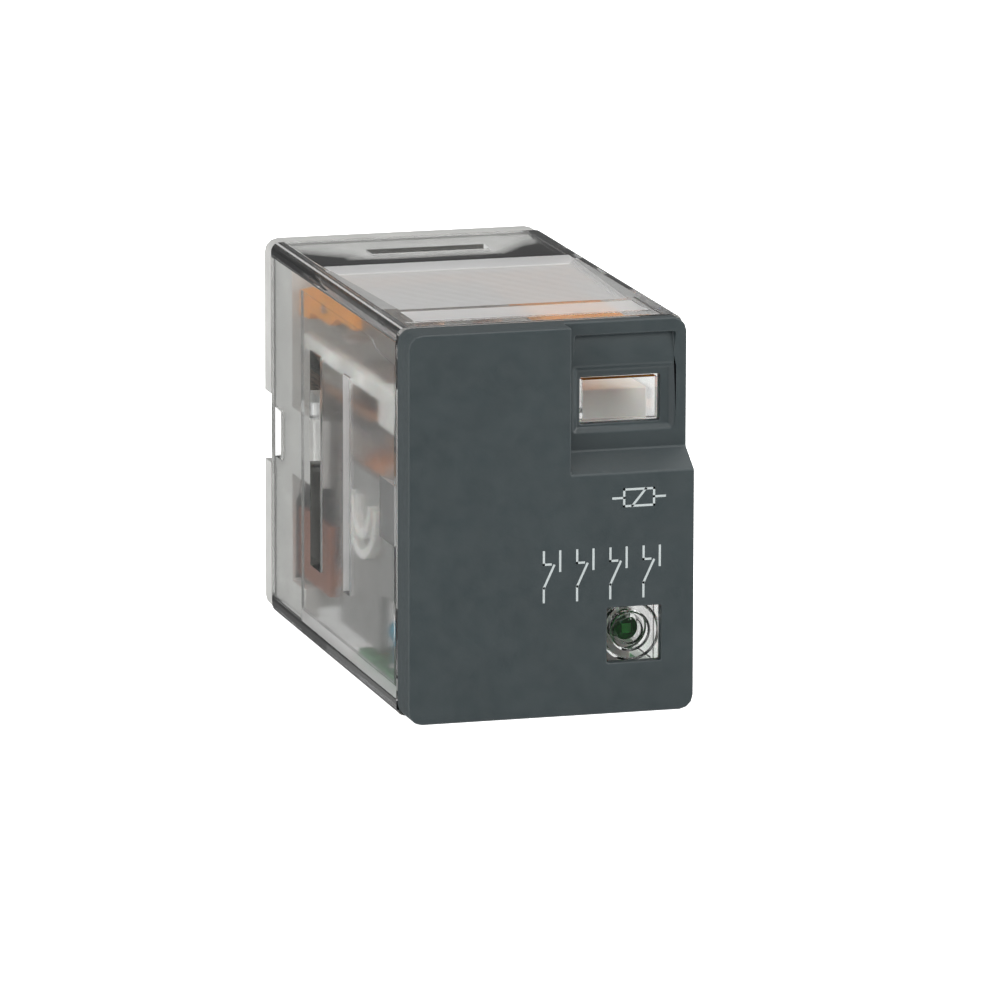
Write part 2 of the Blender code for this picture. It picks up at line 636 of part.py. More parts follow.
def make_magnet(steel, spring_steel):
    """Core, yoke and the strap spring that holds the armature on the yoke's front edge."""
    pole_face = HINGE_DEPTH - FIT
    profile = [(0, pole_face), (POLE_RADIUS, pole_face), (POLE_RADIUS, pole_face - POLE_THICK),
               (CORE_RADIUS, pole_face - POLE_THICK), (CORE_RADIUS, FOOT_DEPTH + PLATE + FIT),
               (TENON_RADIUS, FOOT_DEPTH + PLATE + FIT), (TENON_RADIUS, FOOT_DEPTH),
               (0, FOOT_DEPTH)]
    link_part(turned("core", profile, (0, 0, COIL_Z)), steel)

    half = YOKE_WIDTH / 2
    yoke = box("yoke", (-half, half), (-(HINGE_DEPTH - FIT), -FOOT_DEPTH), (YOKE_BOTTOM, YOKE_TOP))
    foot = box("yoke_foot", (-half, half), (-(FOOT_DEPTH + PLATE), -FOOT_DEPTH),
               (COIL_Z - CORE_RADIUS - PLATE, YOKE_TOP - PLATE / 2))
    combine(yoke, [foot], "UNION")
    hole = rod("tenon_hole", TENON_RADIUS + FIT, PLATE * 4, (0, -FOOT_DEPTH, COIL_Z))
    combine(yoke, [hole])
    link_part(yoke, steel)

    outer = half + FIT + LEAF
    front = HINGE_DEPTH + FIT + PLATE + RUN
    strap = box("hinge_spring", (-outer, outer), (-front - LEAF, -(HINGE_DEPTH - STRAP_LENGTH)),
                (YOKE_BOTTOM, YOKE_TOP + STRAP_RISE))
    inside = box("strap_inside", (-half - FIT, half + FIT), (-front, -FOOT_DEPTH),
                 (YOKE_BOTTOM - WALL, YOKE_TOP + WALL))
    combine(strap, [inside])
    link_part(strap, spring_steel)


def make_armature(steel, axis):
    """The L-shaped armature, which rocks on the yoke's front edge; drawn in its open position."""
    wide = YOKE_WIDTH / 2
    half = ARMATURE_WIDTH / 2
    back = -(HINGE_DEPTH + FIT)
    front = back - PLATE
    flange_z = YOKE_TOP + RUN
    top = flange_z + PLATE
    low = COIL_Z - POLE_RADIUS - LEG_DROP
    leg = link_part(box("armature", (-half, half), (front, back), (low, HINGE_Z)), steel, axis)
    leg.rotation_euler = (-ARMATURE_TRAVEL, 0, 0)
    leg.location = Matrix.Rotation(-ARMATURE_TRAVEL, 3, "X") @ leg.location
    shoulders = box("armature_shoulders", (-wide, wide), (front, back),
                    (HINGE_Z - SHOULDER_DROP, top))
    flange = box("armature_flange", (-wide, wide), (front, -(CARRIER_FRONT - CARRIER_LENGTH)),
                 (flange_z, top))
    combine(leg, [shoulders, flange], "UNION")


def make_carrier(plastic, axis):
    """The moulded carrier that holds the four springs, with an arm along each side."""
    back = CARRIER_FRONT - CARRIER_LENGTH
    half = ARM_X + ARM_WIDTH / 2
    carrier = box("contact_carrier", (-half, half), (-CARRIER_FRONT, -back),
                  (CARRIER_BOTTOM, ARM_TOP))
    arms = [box(f"arm_{side}", (side * ARM_X - ARM_WIDTH / 2, side * ARM_X + ARM_WIDTH / 2),
                (-back - WALL, -BODY - ARM_GAP), (ARM_TOP - ARM_HEIGHT, ARM_TOP))
            for side in (-1, 1)]
    combine(carrier, arms, "UNION")
    slots = []
    half_w = SPRING_WIDTH / 2 + FIT
    half_t = SPRING_THICK / 2 + FIT
    for i in range(COLUMNS):
        x = column_x(i)
        slots.append(box(f"spring_slot_{i}", (x - half_w, x + half_w),
                         (-CARRIER_FRONT + SPRING_SET, -back + WALL),
                         (SPRING_Z - half_t, SPRING_Z + half_t)))
    combine(carrier, slots)
    link_part(carrier, plastic, axis)


def make_springs(bronze, silver, axis):
    """The moving springs and the double-headed contacts at their tips."""
    half = SPRING_WIDTH / 2
    neck = half - SPRING_NECK
    root = CARRIER_FRONT - SPRING_SET - FIT
    tip = CONTACT_DEPTH - CONTACT_RADIUS - SPRING_TIP
    shoulder = CONTACT_DEPTH + CONTACT_RADIUS + NECK_DEPTH
    outline = [(-half, -root), (half, -root), (neck, -shoulder), (half, -CONTACT_DEPTH),
               (neck, -tip), (-neck, -tip), (-half, -CONTACT_DEPTH), (-neck, -shoulder)]
    head = CONTACT_HEAD + SPRING_THICK / 2
    seat = SPRING_THICK / 2 + RIVET_SEAT
    profile = [(0, head), (CONTACT_RADIUS, head), (CONTACT_RADIUS, seat), (SHANK_RADIUS, seat),
               (SHANK_RADIUS, -seat), (CONTACT_RADIUS, -seat), (CONTACT_RADIUS, -head), (0, -head)]
    hole = (0, -CONTACT_DEPTH, SHANK_RADIUS + RIVET_FIT)
    for i in range(COLUMNS):
        x = column_x(i)
        link_part(flat_plate(f"moving_spring_{i + 1}", outline, SPRING_THICK, (x, 0, SPRING_Z),
                             [hole]), bronze, axis)
        link_part(turned(f"moving_contact_{i + 1}", profile, (x, -CONTACT_DEPTH, SPRING_Z), "Z",
                         16), silver, axis)


def make_braids(copper):
    """The flexible leads from the common terminals to the moving springs."""
    start = BODY + FIT + BLADE_THICK + FIT
    low = YOKE_TOP + FIT + BRAID_RADIUS
    high = SPRING_Z - SPRING_THICK / 2 - 2 * FIT - BRAID_RADIUS
    rise = CONTACT_DEPTH + CONTACT_RADIUS + BRAID_RUN
    end = CARRIER_FRONT - CARRIER_LENGTH - RUN
    for i in range(COLUMNS):
        x = column_x(i)
        path = [(x, -start, low), (x, -rise, low)]
        for step in range(1, BRAID_STEPS + 1):
            t = step / BRAID_STEPS
            ease = t * t * (3 - 2 * t)
            path.append((x, -(rise + (end - rise) * t), low + (high - low) * ease))
        link_part(wire(f"braid_{i + 1}", path, BRAID_RADIUS), copper)


def make_indicator(orange, steel, axis):
    """The orange indicator: two side plates on a pin, a bridge, and an arm with a flag."""
    plates = []
    tail = BODY + TAIL_GAP
    bridge = [PIVOT_DEPTH + edge for edge in BRIDGE]
    low = PIVOT_Z - PLATE_DROP
    foot = ARM_TOP + LOST_MOTION
    outline = [(-tail, foot), (-tail, LEVER_TOP - TAIL_DROP), (-PIVOT_DEPTH + CREST, LEVER_TOP),
               (-bridge[1], LEVER_TOP), (-bridge[1], LEVER_TOP - 2 * LEVER_THICK),
               (-bridge[0], low), (-tail - TAIL_TOE[1], low), (-tail - TAIL_TOE[0], foot)]
    for side in (-1, 1):
        plates.append(side_block(f"side_plate_{side}", outline, ARM_WIDTH, side * ARM_X))
    lever = box("indicator_lever", (-ARM_X, ARM_X), (-bridge[1], -bridge[0]),
                (LEVER_TOP - LEVER_THICK, LEVER_TOP))
    flag_back = -(HINGE_DEPTH + FLAG_SETBACK)
    flag_right = INNER_SIDE - FLAG_INSET
    flag_left = flag_right - FLAG_WIDTH
    arm = box("flag_arm", (flag_left - FLAG_ARM[0], flag_right - FLAG_ARM[1]),
              (flag_back - FLAG_THICK, -bridge[0]), (LEVER_TOP - LEVER_THICK, LEVER_TOP))
    flag = box("flag", (flag_left, flag_right), (flag_back - FLAG_THICK, flag_back),
               (WINDOW_Z + WINDOW_SIZE[1] / 2 - FLAG_SHOW, LEVER_TOP))
    combine(lever, plates + [arm, flag], "UNION")
    combine(lever, [rod("lever_bore", PIN_RADIUS + FIT, WIDTH, (0, -PIVOT_DEPTH, PIVOT_Z), "X")])
    link_part(lever, orange, axis)
    length = 2 * (ARM_X + ARM_WIDTH / 2 + FIT)
    link_part(rod("indicator_pin", PIN_RADIUS, length, (0, -PIVOT_DEPTH, PIVOT_Z), "X", 16), steel)


def make_light(board_green, green, holder_white, blue, black):
    """The indicator light: board, holder, LED, series resistor and diode."""
    front = SHOULDER - WALL - FIT
    side = INNER_SIDE - FIT - BOARD_INSET
    link_part(box("led_board", (-side, side), (-front, -front + BOARD_LENGTH),
                  (BOARD_TOP - BOARD, BOARD_TOP)), board_green)
    seat = front - HOLDER_SETBACK
    half = LED_RADIUS + HOLDER_WALL
    link_part(box("led_holder", (LED_X - half, LED_X + half), (-seat, -seat + HOLDER_DEPTH),
                  (BOARD_TOP + FIT, LED_Z + half)), holder_white)
    base = seat + FIT
    tip = DEPTH - CAP_WALL - FIT - WALL - RUN
    dome = tip - LED_RADIUS
    profile = [(0, tip)]
    profile += [(LED_RADIUS * math.sin(a), dome + LED_RADIUS * math.cos(a))
                for a in (math.pi / 8 * i for i in range(1, 4))]
    collar, thick = LED_COLLAR
    profile += [(LED_RADIUS, dome), (LED_RADIUS, base + thick),
                (LED_RADIUS + collar, base + thick), (LED_RADIUS + collar, base), (0, base)]
    link_part(turned("led", profile, (LED_X, 0, LED_Z)), green)
    beside = BOBBIN_WIDTH / 2 + FIT
    make_axial("series_resistor", -(beside + RESISTOR_RADIUS), front - AXIAL_SPLIT,
               front - RESISTOR_EDGE, BOARD_TOP + RESISTOR_HEIGHT, RESISTOR_RADIUS, blue)
    make_axial("diode", beside + DIODE_GAP + DIODE_RADIUS, front - BOARD_LENGTH + DIODE_EDGE,
               front - AXIAL_SPLIT, BOARD_TOP + DIODE_HEIGHT, DIODE_RADIUS, black)


def make_axial(name, x, back, front, z, body, material):
    """An axial component along Y whose leads bend down to the board."""
    lead = body / WIRE_RADIUS
    seat = BOARD_TOP + FIT
    bend = 2.5 * WIRE_RADIUS
    start = back + LEAD_RUN
    end = front - LEAD_RUN
    shoulder = 0.8 * lead
    stations = [((x, -back, seat), 1), ((x, -back, z - bend), 1), ((x, -back - bend, z), 1),
                ((x, -start, z), 1), ((x, -start - BODY_STEP, z), shoulder),
                ((x, -start - BODY_ROUND, z), lead), ((x, -end + BODY_ROUND, z), lead),
                ((x, -end + BODY_STEP, z), shoulder), ((x, -end, z), 1),
                ((x, -front + bend, z), 1), ((x, -front, z - bend), 1), ((x, -front, seat), 1)]
    path = [place for place, _ in stations]
    swell = [factor for _, factor in stations]
    link_part(wire(name, path, WIRE_RADIUS, swell), material)


def make_coil_leads(copper):
    """The winding's two ends, from the solder tabs to the back of the winding."""
    low, _ = coil_tab_levels()
    for side, word in ((-1, "left"), (1, "right")):
        tab = coil_tab_x() - BLADE_THICK / 2 - FIT - LEAD_RADIUS
        depth = TAB_DEPTH - 1.0 * MM
        touch = COIL_RADIUS + FIT + LEAD_RADIUS
        path = [(side * tab, -depth, low + 0.6 * MM),
                (side * tab, -depth - 0.6 * MM, low + 1.6 * MM),
                (side * (tab - 0.3 * MM), -depth - 1.0 * MM, low + 2.8 * MM),
                (side * (touch + 0.2 * MM), -depth - 1.2 * MM, COIL_Z - 1.2 * MM),
                (side * touch, -depth - 1.3 * MM, COIL_Z)]
        link_part(wire(f"coil_lead_{word}", path, LEAD_RADIUS), copper)


def build():
    """Model every piece of the relay."""
    start_scene()
    clear = finish("clear_polycarbonate", (0.86, 0.88, 0.88), 0.12, alpha=0.35)
    slate = finish("slate_plastic", (0.065, 0.078, 0.078), 0.45)
    grey = finish("grey_plastic", (0.52, 0.52, 0.50), 0.5)
    white = finish("white_plastic", (0.72, 0.72, 0.68), 0.45)
    copper = finish("enamelled_copper", (0.62, 0.24, 0.12), 0.35, 0.9)
    tape = finish("coil_tape", (0.70, 0.70, 0.66), 0.4)
    steel = finish("plated_steel", (0.55, 0.55, 0.55), 0.3, 1.0)
    bronze = finish("copper_alloy", (0.75, 0.42, 0.25), 0.3, 1.0)
    tin = finish("tinned_copper", (0.70, 0.67, 0.62), 0.3, 1.0)
    silver = finish("contact_silver", (0.85, 0.85, 0.83), 0.2, 1.0)
    orange = finish("orange_plastic", (0.80, 0.30, 0.04), 0.4)
    green = finish("green_lens", (0.005, 0.10, 0.012), 0.15)
    board = finish("board_laminate", (0.10, 0.24, 0.12), 0.5)
    blue = finish("blue_enamel", (0.06, 0.30, 0.42), 0.35)
    black = finish("black_epoxy", (0.02, 0.02, 0.02), 0.35)

    armature_axis = axis_empty("armature_axis", -HINGE_DEPTH, HINGE_Z)
    indicator_axis = axis_empty("indicator_axis", -PIVOT_DEPTH, PIVOT_Z)

    make_case(clear)
    make_cap(slate)
    make_base(grey)
    make_fixed_contacts(tin, silver)
    make_common_terminals(tin)
    make_coil_terminals(tin)
    make_coil(white, copper, tape)
    make_magnet(steel, bronze)
    make_armature(steel, armature_axis)
    make_carrier(white, armature_axis)
    make_springs(bronze, silver, armature_axis)
    make_braids(copper)
    make_indicator(orange, steel, indicator_axis)
    make_light(board, green, white, blue, black)
    make_coil_leads(copper)


build()
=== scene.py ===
"""Looks of a plug-in control relay: clear case, dark front cap, and the works inside.

Metres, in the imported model's frame: +X right, the front faces -Y, +Z up, and the
origin is the middle of the base's seating face. A depth d lies at y = -d.
"""
from __future__ import annotations

import logging
import math
from dataclasses import dataclass
from enum import Enum, IntEnum

import bmesh
import bpy
from mathutils import Matrix, Vector

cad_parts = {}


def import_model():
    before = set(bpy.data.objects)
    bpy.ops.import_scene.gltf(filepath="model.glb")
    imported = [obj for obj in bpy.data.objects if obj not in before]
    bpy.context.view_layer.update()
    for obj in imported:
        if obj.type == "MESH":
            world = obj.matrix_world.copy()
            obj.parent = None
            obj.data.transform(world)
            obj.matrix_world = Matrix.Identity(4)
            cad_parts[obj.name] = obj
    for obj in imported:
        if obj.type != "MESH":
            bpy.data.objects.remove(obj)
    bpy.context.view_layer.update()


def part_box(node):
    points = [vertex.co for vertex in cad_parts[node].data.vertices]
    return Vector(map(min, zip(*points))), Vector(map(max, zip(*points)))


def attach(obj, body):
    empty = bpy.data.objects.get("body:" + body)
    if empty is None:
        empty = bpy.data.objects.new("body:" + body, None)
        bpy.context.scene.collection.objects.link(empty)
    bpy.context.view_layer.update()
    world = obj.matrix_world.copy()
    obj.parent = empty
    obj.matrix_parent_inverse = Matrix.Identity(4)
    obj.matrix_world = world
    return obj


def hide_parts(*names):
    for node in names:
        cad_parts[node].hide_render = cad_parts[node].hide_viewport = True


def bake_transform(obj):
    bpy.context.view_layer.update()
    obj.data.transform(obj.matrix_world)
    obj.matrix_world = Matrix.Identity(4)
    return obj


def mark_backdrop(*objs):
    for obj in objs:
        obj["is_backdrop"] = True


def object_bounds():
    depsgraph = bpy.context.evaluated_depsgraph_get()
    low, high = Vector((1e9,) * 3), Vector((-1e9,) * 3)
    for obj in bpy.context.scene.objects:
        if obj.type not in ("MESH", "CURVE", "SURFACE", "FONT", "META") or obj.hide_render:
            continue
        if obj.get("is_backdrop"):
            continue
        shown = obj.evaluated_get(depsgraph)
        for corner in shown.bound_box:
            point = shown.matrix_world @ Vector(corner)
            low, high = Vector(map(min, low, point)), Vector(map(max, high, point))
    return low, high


MM = 0.001
OVER = 0.05 * MM        # how far a cutter stands out of the face that it cuts
FACING = 0.9            # least part of a normal along an axis that it faces
LOG = logging.getLogger("relay")

Point = tuple[float, float, float]
Colour = tuple[float, float, float]


class Body(str, Enum):
    """The bodies that pieces ride on."""

    FRAME = "frame"
    ARMATURE = "armature_group"
    INDICATOR = "indicator"


class Slot(str, Enum):
    """The record's material slots."""

    CLEAR = "clear_case"
    SLATE = "slate_plastic"
    GREY = "grey_plastic"
    WHITE = "white_plastic"
    WIRE = "copper_wire"
    BRAID = "braid_copper"
    TAPE = "coil_tape"
    STEEL = "plated_steel"
    BRONZE = "copper_alloy"
    TIN = "tinned_copper"
    SILVER = "contact_silver"
    ORANGE = "orange_plastic"
    LENS = "green_lens"
    BOARD = "board_laminate"
    BLUE = "blue_enamel"
    BLACK = "black_epoxy"


# ---------------------------------------------------------------- finishes


class Graph:
    """A material's node tree, with short calls that add nodes and join them."""

    def __init__(self, name: str) -> None:
        """Start a material that holds one Principled BSDF.

        Args:
            name: The material's name.
        """
        self.material = bpy.data.materials.new(name)
        self.material.use_nodes = True
        self.tree = self.material.node_tree
        self.shader = self.tree.nodes["Principled BSDF"]
        self.place = self.tree.nodes.new("ShaderNodeTexCoord").outputs["Object"]

    def set(self, socket: str, value: float | Colour) -> None:
        """Give a socket of the shader one value for the whole surface.

        Args:
            socket: The socket's name.
            value: A number or a colour.
        """
        if isinstance(value, tuple):
            value = (*value, 1.0)
        self.shader.inputs[socket].default_value = value

    def link(self, output: bpy.types.NodeSocket, socket: str) -> None:
        """Join an output to a socket of the shader."""
        self.tree.links.new(output, self.shader.inputs[socket])

    def stretched(self, scale: Point) -> bpy.types.NodeSocket:
        """Object coordinates scaled by axis.

        Args:
            scale: The factor of each axis; a small one draws the pattern out along it.

        Returns:
            The scaled coordinates.
        """
        node = self.tree.nodes.new("ShaderNodeMapping")
        node.inputs["Scale"].default_value = scale
        self.tree.links.new(self.place, node.inputs["Vector"])
        return node.outputs["Vector"]

    def noise(self, size: float, detail: float = 4.0,
              place: bpy.types.NodeSocket | None = None) -> bpy.types.NodeSocket:
        """Cloudy noise with features of a size in metres.

        Args:
            size: The width of the largest features.
            detail: How many finer layers are added.
            place: The coordinates it reads, or the object's own.

        Returns:
            The noise's value, about 0.5 on average.
        """
        node = self.tree.nodes.new("ShaderNodeTexNoise")
        node.inputs["Scale"].default_value = 1.0 / size
        node.inputs["Detail"].default_value = detail
        self.tree.links.new(place or self.place, node.inputs["Vector"])
        return node.outputs["Fac"]

    def span(self, value: bpy.types.NodeSocket, source: tuple[float, float],
             target: tuple[float, float]) -> bpy.types.NodeSocket:
        """A value moved from one range to another, held at its ends.

        Args:
            value: The value.
            source: The range that it comes in.
            target: The range that it leaves in.

        Returns:
            The moved value.
        """
        node = self.tree.nodes.new("ShaderNodeMapRange")
        names = ("From Min", "From Max", "To Min", "To Max")
        for name, number in zip(names, (*source, *target)):
            node.inputs[name].default_value = number
        self.tree.links.new(value, node.inputs["Value"])
        return node.outputs["Result"]

    def mix(self, share: bpy.types.NodeSocket, first: Colour, second: Colour,
            ) -> bpy.types.NodeSocket:
        """Two colours mixed by a share that changes over the surface.

        Args:
            share: The share of the second colour.
            first: The first colour.
            second: The second colour.

        Returns:
            The mixed colour.
        """
        node = self.tree.nodes.new("ShaderNodeMix")
        node.data_type = "RGBA"
        node.inputs["A"].default_value = (*first, 1.0)
        node.inputs["B"].default_value = (*second, 1.0)
        self.tree.links.new(share, node.inputs["Factor"])
        return node.outputs["Result"]

    def bump(self, height: bpy.types.NodeSocket, depth: float, strength: float = 1.0) -> None:
        """Raise the surface, on top of any bump that it already has.

        Args:
            height: The height, from 0 to 1.
            depth: The rise at height 1, in metres.
            strength: The share of the bump that shows.
        """
        node = self.tree.nodes.new("ShaderNodeBump")
        node.inputs["Strength"].default_value = strength
        node.inputs["Distance"].default_value = depth
        self.tree.links.new(height, node.inputs["Height"])
        normal = self.shader.inputs["Normal"]
        if normal.is_linked:
            self.tree.links.new(normal.links[0].from_socket, node.inputs["Normal"])
        self.tree.links.new(node.outputs["Normal"], normal)


def shade(colour: Colour, factor: float) -> Colour:
    """A colour made lighter or darker, kept below white."""
    return tuple(min(1.0, channel * factor) for channel in colour)


@dataclass(frozen=True)
class Moulded:
    """Moulded plastic: fine spark-eroded grain, slight mottling and rubbed patches."""

    name: str
    colour: Colour
    roughness: float = 0.45
    grain: float = 0.10 * MM
    depth: float = 0.004 * MM
    mottle: float = 0.08
    specular: float = 0.5
    glow: float = 0.0

    def material(self) -> bpy.types.Material:
        """Build the material.

        Returns:
            The material.
        """
        graph = Graph(self.name)
        cloud = graph.span(graph.noise(3.0 * MM, 5.0), (0.3, 0.7), (0.0, 1.0))
        graph.link(graph.mix(cloud, shade(self.colour, 1 - self.mottle),
                             shade(self.colour, 1 + self.mottle)), "Base Color")
        rub = graph.noise(1.1 * MM, 6.0)
        graph.link(graph.span(rub, (0.35, 0.7), (self.roughness + 0.05, self.roughness - 0.07)),
                   "Roughness")
        graph.set("Specular IOR Level", self.specular)
        if self.glow:
            graph.set("Subsurface Weight", self.glow)
            graph.set("Subsurface Scale", 0.6 * MM)
        graph.bump(graph.noise(self.grain, 2.0), self.depth, 0.8)
        return graph.material


@dataclass(frozen=True)
class Clear:
    """Clear polycarbonate, polished or frosted, with a share of milky scatter."""

    name: str
    tint: Colour = (0.985, 0.99, 0.985)
    roughness: float = 0.0
    milk: float = 0.0
    ripple: float = 0.0

    def material(self) -> bpy.types.Material:
        """Build the material.

        Returns:
            The material.
        """
        graph = Graph(self.name)
        graph.set("IOR", 1.58)
        graph.set("Transmission Weight", 1.0 - self.milk)
        cloud = graph.span(graph.noise(4.0 * MM, 3.0), (0.3, 0.7), (0.0, 1.0))
        graph.link(graph.mix(cloud, shade(self.tint, 0.985), self.tint), "Base Color")
        polish = graph.noise(0.9 * MM, 5.0)
        low = max(0.0, self.roughness - 0.02)
        graph.link(graph.span(polish, (0.3, 0.7), (low, self.roughness + 0.02)), "Roughness")
        if self.ripple:
            graph.bump(graph.noise(0.25 * MM, 3.0), self.ripple, 0.5)
        return graph.material


@dataclass(frozen=True)
class Metal:
    """Sheet or plated metal: rolled streaks along an axis, haze and small pits."""

    name: str
    colour: Colour
    roughness: float = 0.3
    streak: Point = (1.0, 0.06, 1.0)
    depth: float = 0.002 * MM
    tarnish: Colour = (0.35, 0.30, 0.25)
    spread: float = 0.35

    def material(self) -> bpy.types.Material:
        """Build the material.

        Returns:
            The material.
        """
        graph = Graph(self.name)
        graph.set("Metallic", 1.0)
        lines = graph.noise(0.12 * MM, 4.0, graph.stretched(self.streak))
        haze = graph.noise(1.6 * MM, 6.0)
        share = graph.span(haze, (0.45, 0.8), (0.0, self.spread))
        graph.link(graph.mix(share, self.colour, self.tarnish), "Base Color")
        graph.link(graph.span(lines, (0.3, 0.7), (self.roughness - 0.08, self.roughness + 0.12)),
                   "Roughness")
        graph.bump(lines, self.depth, 0.6)
        return graph.material


@dataclass(frozen=True)
class Laminate:
    """A printed board: solder mask over a faint weave of glass cloth."""

    name: str
    colour: Colour

    def material(self) -> bpy.types.Material:
        """Build the material.

        Returns:
            The material.
        """
        graph = Graph(self.name)
        waves = []
        for direction in ("X", "Y"):
            node = graph.tree.nodes.new("ShaderNodeTexWave")
            node.bands_direction = direction
            node.inputs["Scale"].default_value = 1.0 / (3.0 * MM)
            node.inputs["Distortion"].default_value = 0.4
            graph.tree.links.new(graph.place, node.inputs["Vector"])
            waves.append(node.outputs["Fac"])
        patch = graph.noise(1.4 * MM, 3.0)
        graph.link(graph.mix(graph.span(patch, (0.4, 0.6), (0.0, 1.0)), shade(self.colour, 0.8),
                             shade(self.colour, 1.2)), "Base Color")
        graph.set("Roughness", 0.35)
        for wave in waves:
            graph.bump(wave, 0.006 * MM, 0.4)
        return graph.material


@dataclass(frozen=True)
class Lens:
    """Tinted epoxy, dark and glossy, that lets a little light through."""

    name: str
    tint: Colour

    def material(self) -> bpy.types.Material:
        """Build the material.

        Returns:
            The material.
        """
        graph = Graph(self.name)
        swirl = graph.span(graph.noise(0.5 * MM, 3.0), (0.3, 0.7), (0.0, 1.0))
        graph.link(graph.mix(swirl, shade(self.tint, 0.8), shade(self.tint, 1.2)), "Base Color")
        graph.set("Transmission Weight", 0.35)
        graph.set("IOR", 1.5)
        graph.set("Roughness", 0.08)
        return graph.material


class Finishes:
    """Every finish of the relay, built once."""

    def __init__(self) -> None:
        """Build the materials."""
        self.clear = Clear("polished_polycarbonate").material()
        self.frost = Clear("frosted_polycarbonate", (0.975, 0.98, 0.97), 0.12, 0.01,
                           0.003 * MM).material()
        self.ribbed = Clear("ribbed_polycarbonate", (0.47, 0.47, 0.465), 0.32, 0.70).material()
        self.milky = Clear("milky_polycarbonate", (0.90, 0.90, 0.895), 0.32, 0.35).material()
        # Dark tinted glass: painted shade, standing in for the dark refraction along the rounded
        # long edges and the shade seen through the vent ends.
        self.edge = Clear("edge_polycarbonate", (0.08, 0.08, 0.078), 0.03).material()
        self.slate = Moulded("slate_plastic", (0.022, 0.0315, 0.034), 0.42, mottle=0.05).material()
        self.grey = Moulded("grey_plastic", (0.36, 0.36, 0.349), 0.5).material()
        self.dark_grey = Moulded("dark_grey_plastic", (0.30, 0.30, 0.29), 0.45).material()
        # The base's own grey painted brighter: painted light for the base faces inside the case,
        # making up for light lost through the glass.
        self.grey_painted_brighter = Moulded("light_grey_plastic", (0.74, 0.74, 0.72), 0.45).material()
        self.white = Moulded("white_plastic", (0.80, 0.80, 0.77), 0.42, glow=0.15).material()
        self.orange = Moulded("orange_plastic", (0.86, 0.34, 0.045), 0.4, glow=0.2).material()
        self.tape = Moulded("coil_tape", (0.66, 0.65, 0.60), 0.3, 0.3 * MM, 0.01 * MM).material()
        self.ink = Moulded("printing_ink", (0.30, 0.33, 0.33), 0.55, 0.05 * MM, 0.002 * MM,
                           0.05).material()
        self.blue = Moulded("blue_enamel", (0.05, 0.30, 0.42), 0.3).material()
        self.black = Moulded("black_epoxy", (0.02, 0.02, 0.02), 0.35).material()
        self.bands = [Moulded(f"band_{word}", colour, 0.3).material() for word, colour in (
            ("brown", (0.12, 0.05, 0.02)), ("red", (0.45, 0.03, 0.02)),
            ("gold", (0.50, 0.33, 0.08)))]
        self.silver_band = Moulded("band_silver", (0.55, 0.55, 0.55), 0.3).material()
        self.wire = Metal("enamelled_copper", (0.66, 0.25, 0.10), 0.25, (1, 1, 1)).material()
        self.braid = Metal("braid_copper", (0.80, 0.44, 0.27), 0.35, (1, 1, 1)).material()
        self.steel = Metal("plated_steel", (0.42, 0.42, 0.43), 0.28).material()
        self.bronze = Metal("copper_alloy", (0.83, 0.49, 0.32), 0.28).material()
        self.copper = Metal("bare_copper", (0.62, 0.25, 0.14), 0.35, (1, 0.06, 1)).material()
        self.tin = Metal("tinned_copper", (0.74, 0.71, 0.66), 0.26,
                         tarnish=(0.50, 0.40, 0.28)).material()
        self.silver = Metal("contact_silver", (0.90, 0.90, 0.88), 0.2, (1, 1, 1)).material()
        self.solder = Metal("solder", (0.72, 0.72, 0.73), 0.22, (1, 1, 1)).material()
        self.board = Laminate("board_laminate", (0.09, 0.24, 0.12)).material()
        self.lens = Lens("green_lens", (0.002, 0.09, 0.008)).material()
        self.chip = Moulded("chip", (0.02, 0.20, 0.03), 0.3).material()


# ------------------------------------------------------------ shape tools


def new_object(name: str, mesh: bpy.types.Mesh) -> bpy.types.Object:
    """An object at the origin, linked to the scene.

    Args:
        name: The object's name.
        mesh: Its mesh.

    Returns:
        The object.
    """
    obj = bpy.data.objects.new(name, mesh)
    bpy.context.scene.collection.objects.link(obj)
    return obj


def from_shape(name: str, shape: bmesh.types.BMesh) -> bpy.types.Object:
    """An object from an edit mesh, which is freed.

    Args:
        name: The object's name.
        shape: The edit mesh.

    Returns:
        The object.
    """
    mesh = bpy.data.meshes.new(name)
    shape.to_mesh(mesh)
    shape.free()
    return new_object(name, mesh)


def settle(obj: bpy.types.Object) -> bpy.types.Object:
    """Put the modifiers' result into the object's own mesh.

    Args:
        obj: The object.

    Returns:
        The same object, with no modifiers left.
    """
    bpy.context.view_layer.update()
    graph = bpy.context.evaluated_depsgraph_get()
    mesh = bpy.data.meshes.new_from_object(obj.evaluated_get(graph))
    mesh.transform(obj.matrix_world)
    obj.modifiers.clear()
    obj.matrix_world = Matrix.Identity(4)
    old = obj.data
    obj.data = mesh
    mesh.name = obj.name
    if old.users == 0:
        bpy.data.meshes.remove(old)
    return obj


def block(name: str, low: Point, high: Point, radius: float = 0.0, axis: int = 1,
          segments: int = 6) -> bpy.types.Object:
    """A box between two corners.

    Args:
        name: The object's name.
        low: Its lowest corner.
        high: Its highest corner.
        radius: The rounding of the edges along one axis.
        axis: That axis, 0 to 2.
        segments: The facets of each rounding.

    Returns:
        The object.
    """
    shape = bmesh.new()
    bmesh.ops.create_cube(shape, size=1.0)
    size = Vector(high) - Vector(low)
    bmesh.ops.scale(shape, vec=size, verts=shape.verts)
    bmesh.ops.translate(shape, vec=(Vector(high) + Vector(low)) / 2, verts=shape.verts)
    if radius > 0:
        edges = [e for e in shape.edges
                 if abs((e.verts[0].co - e.verts[1].co)[axis]) > size[axis] / 2]
        bmesh.ops.bevel(shape, geom=edges, offset=radius, offset_type="OFFSET",
                        segments=segments, profile=0.5, affect="EDGES")
    return from_shape(name, shape)


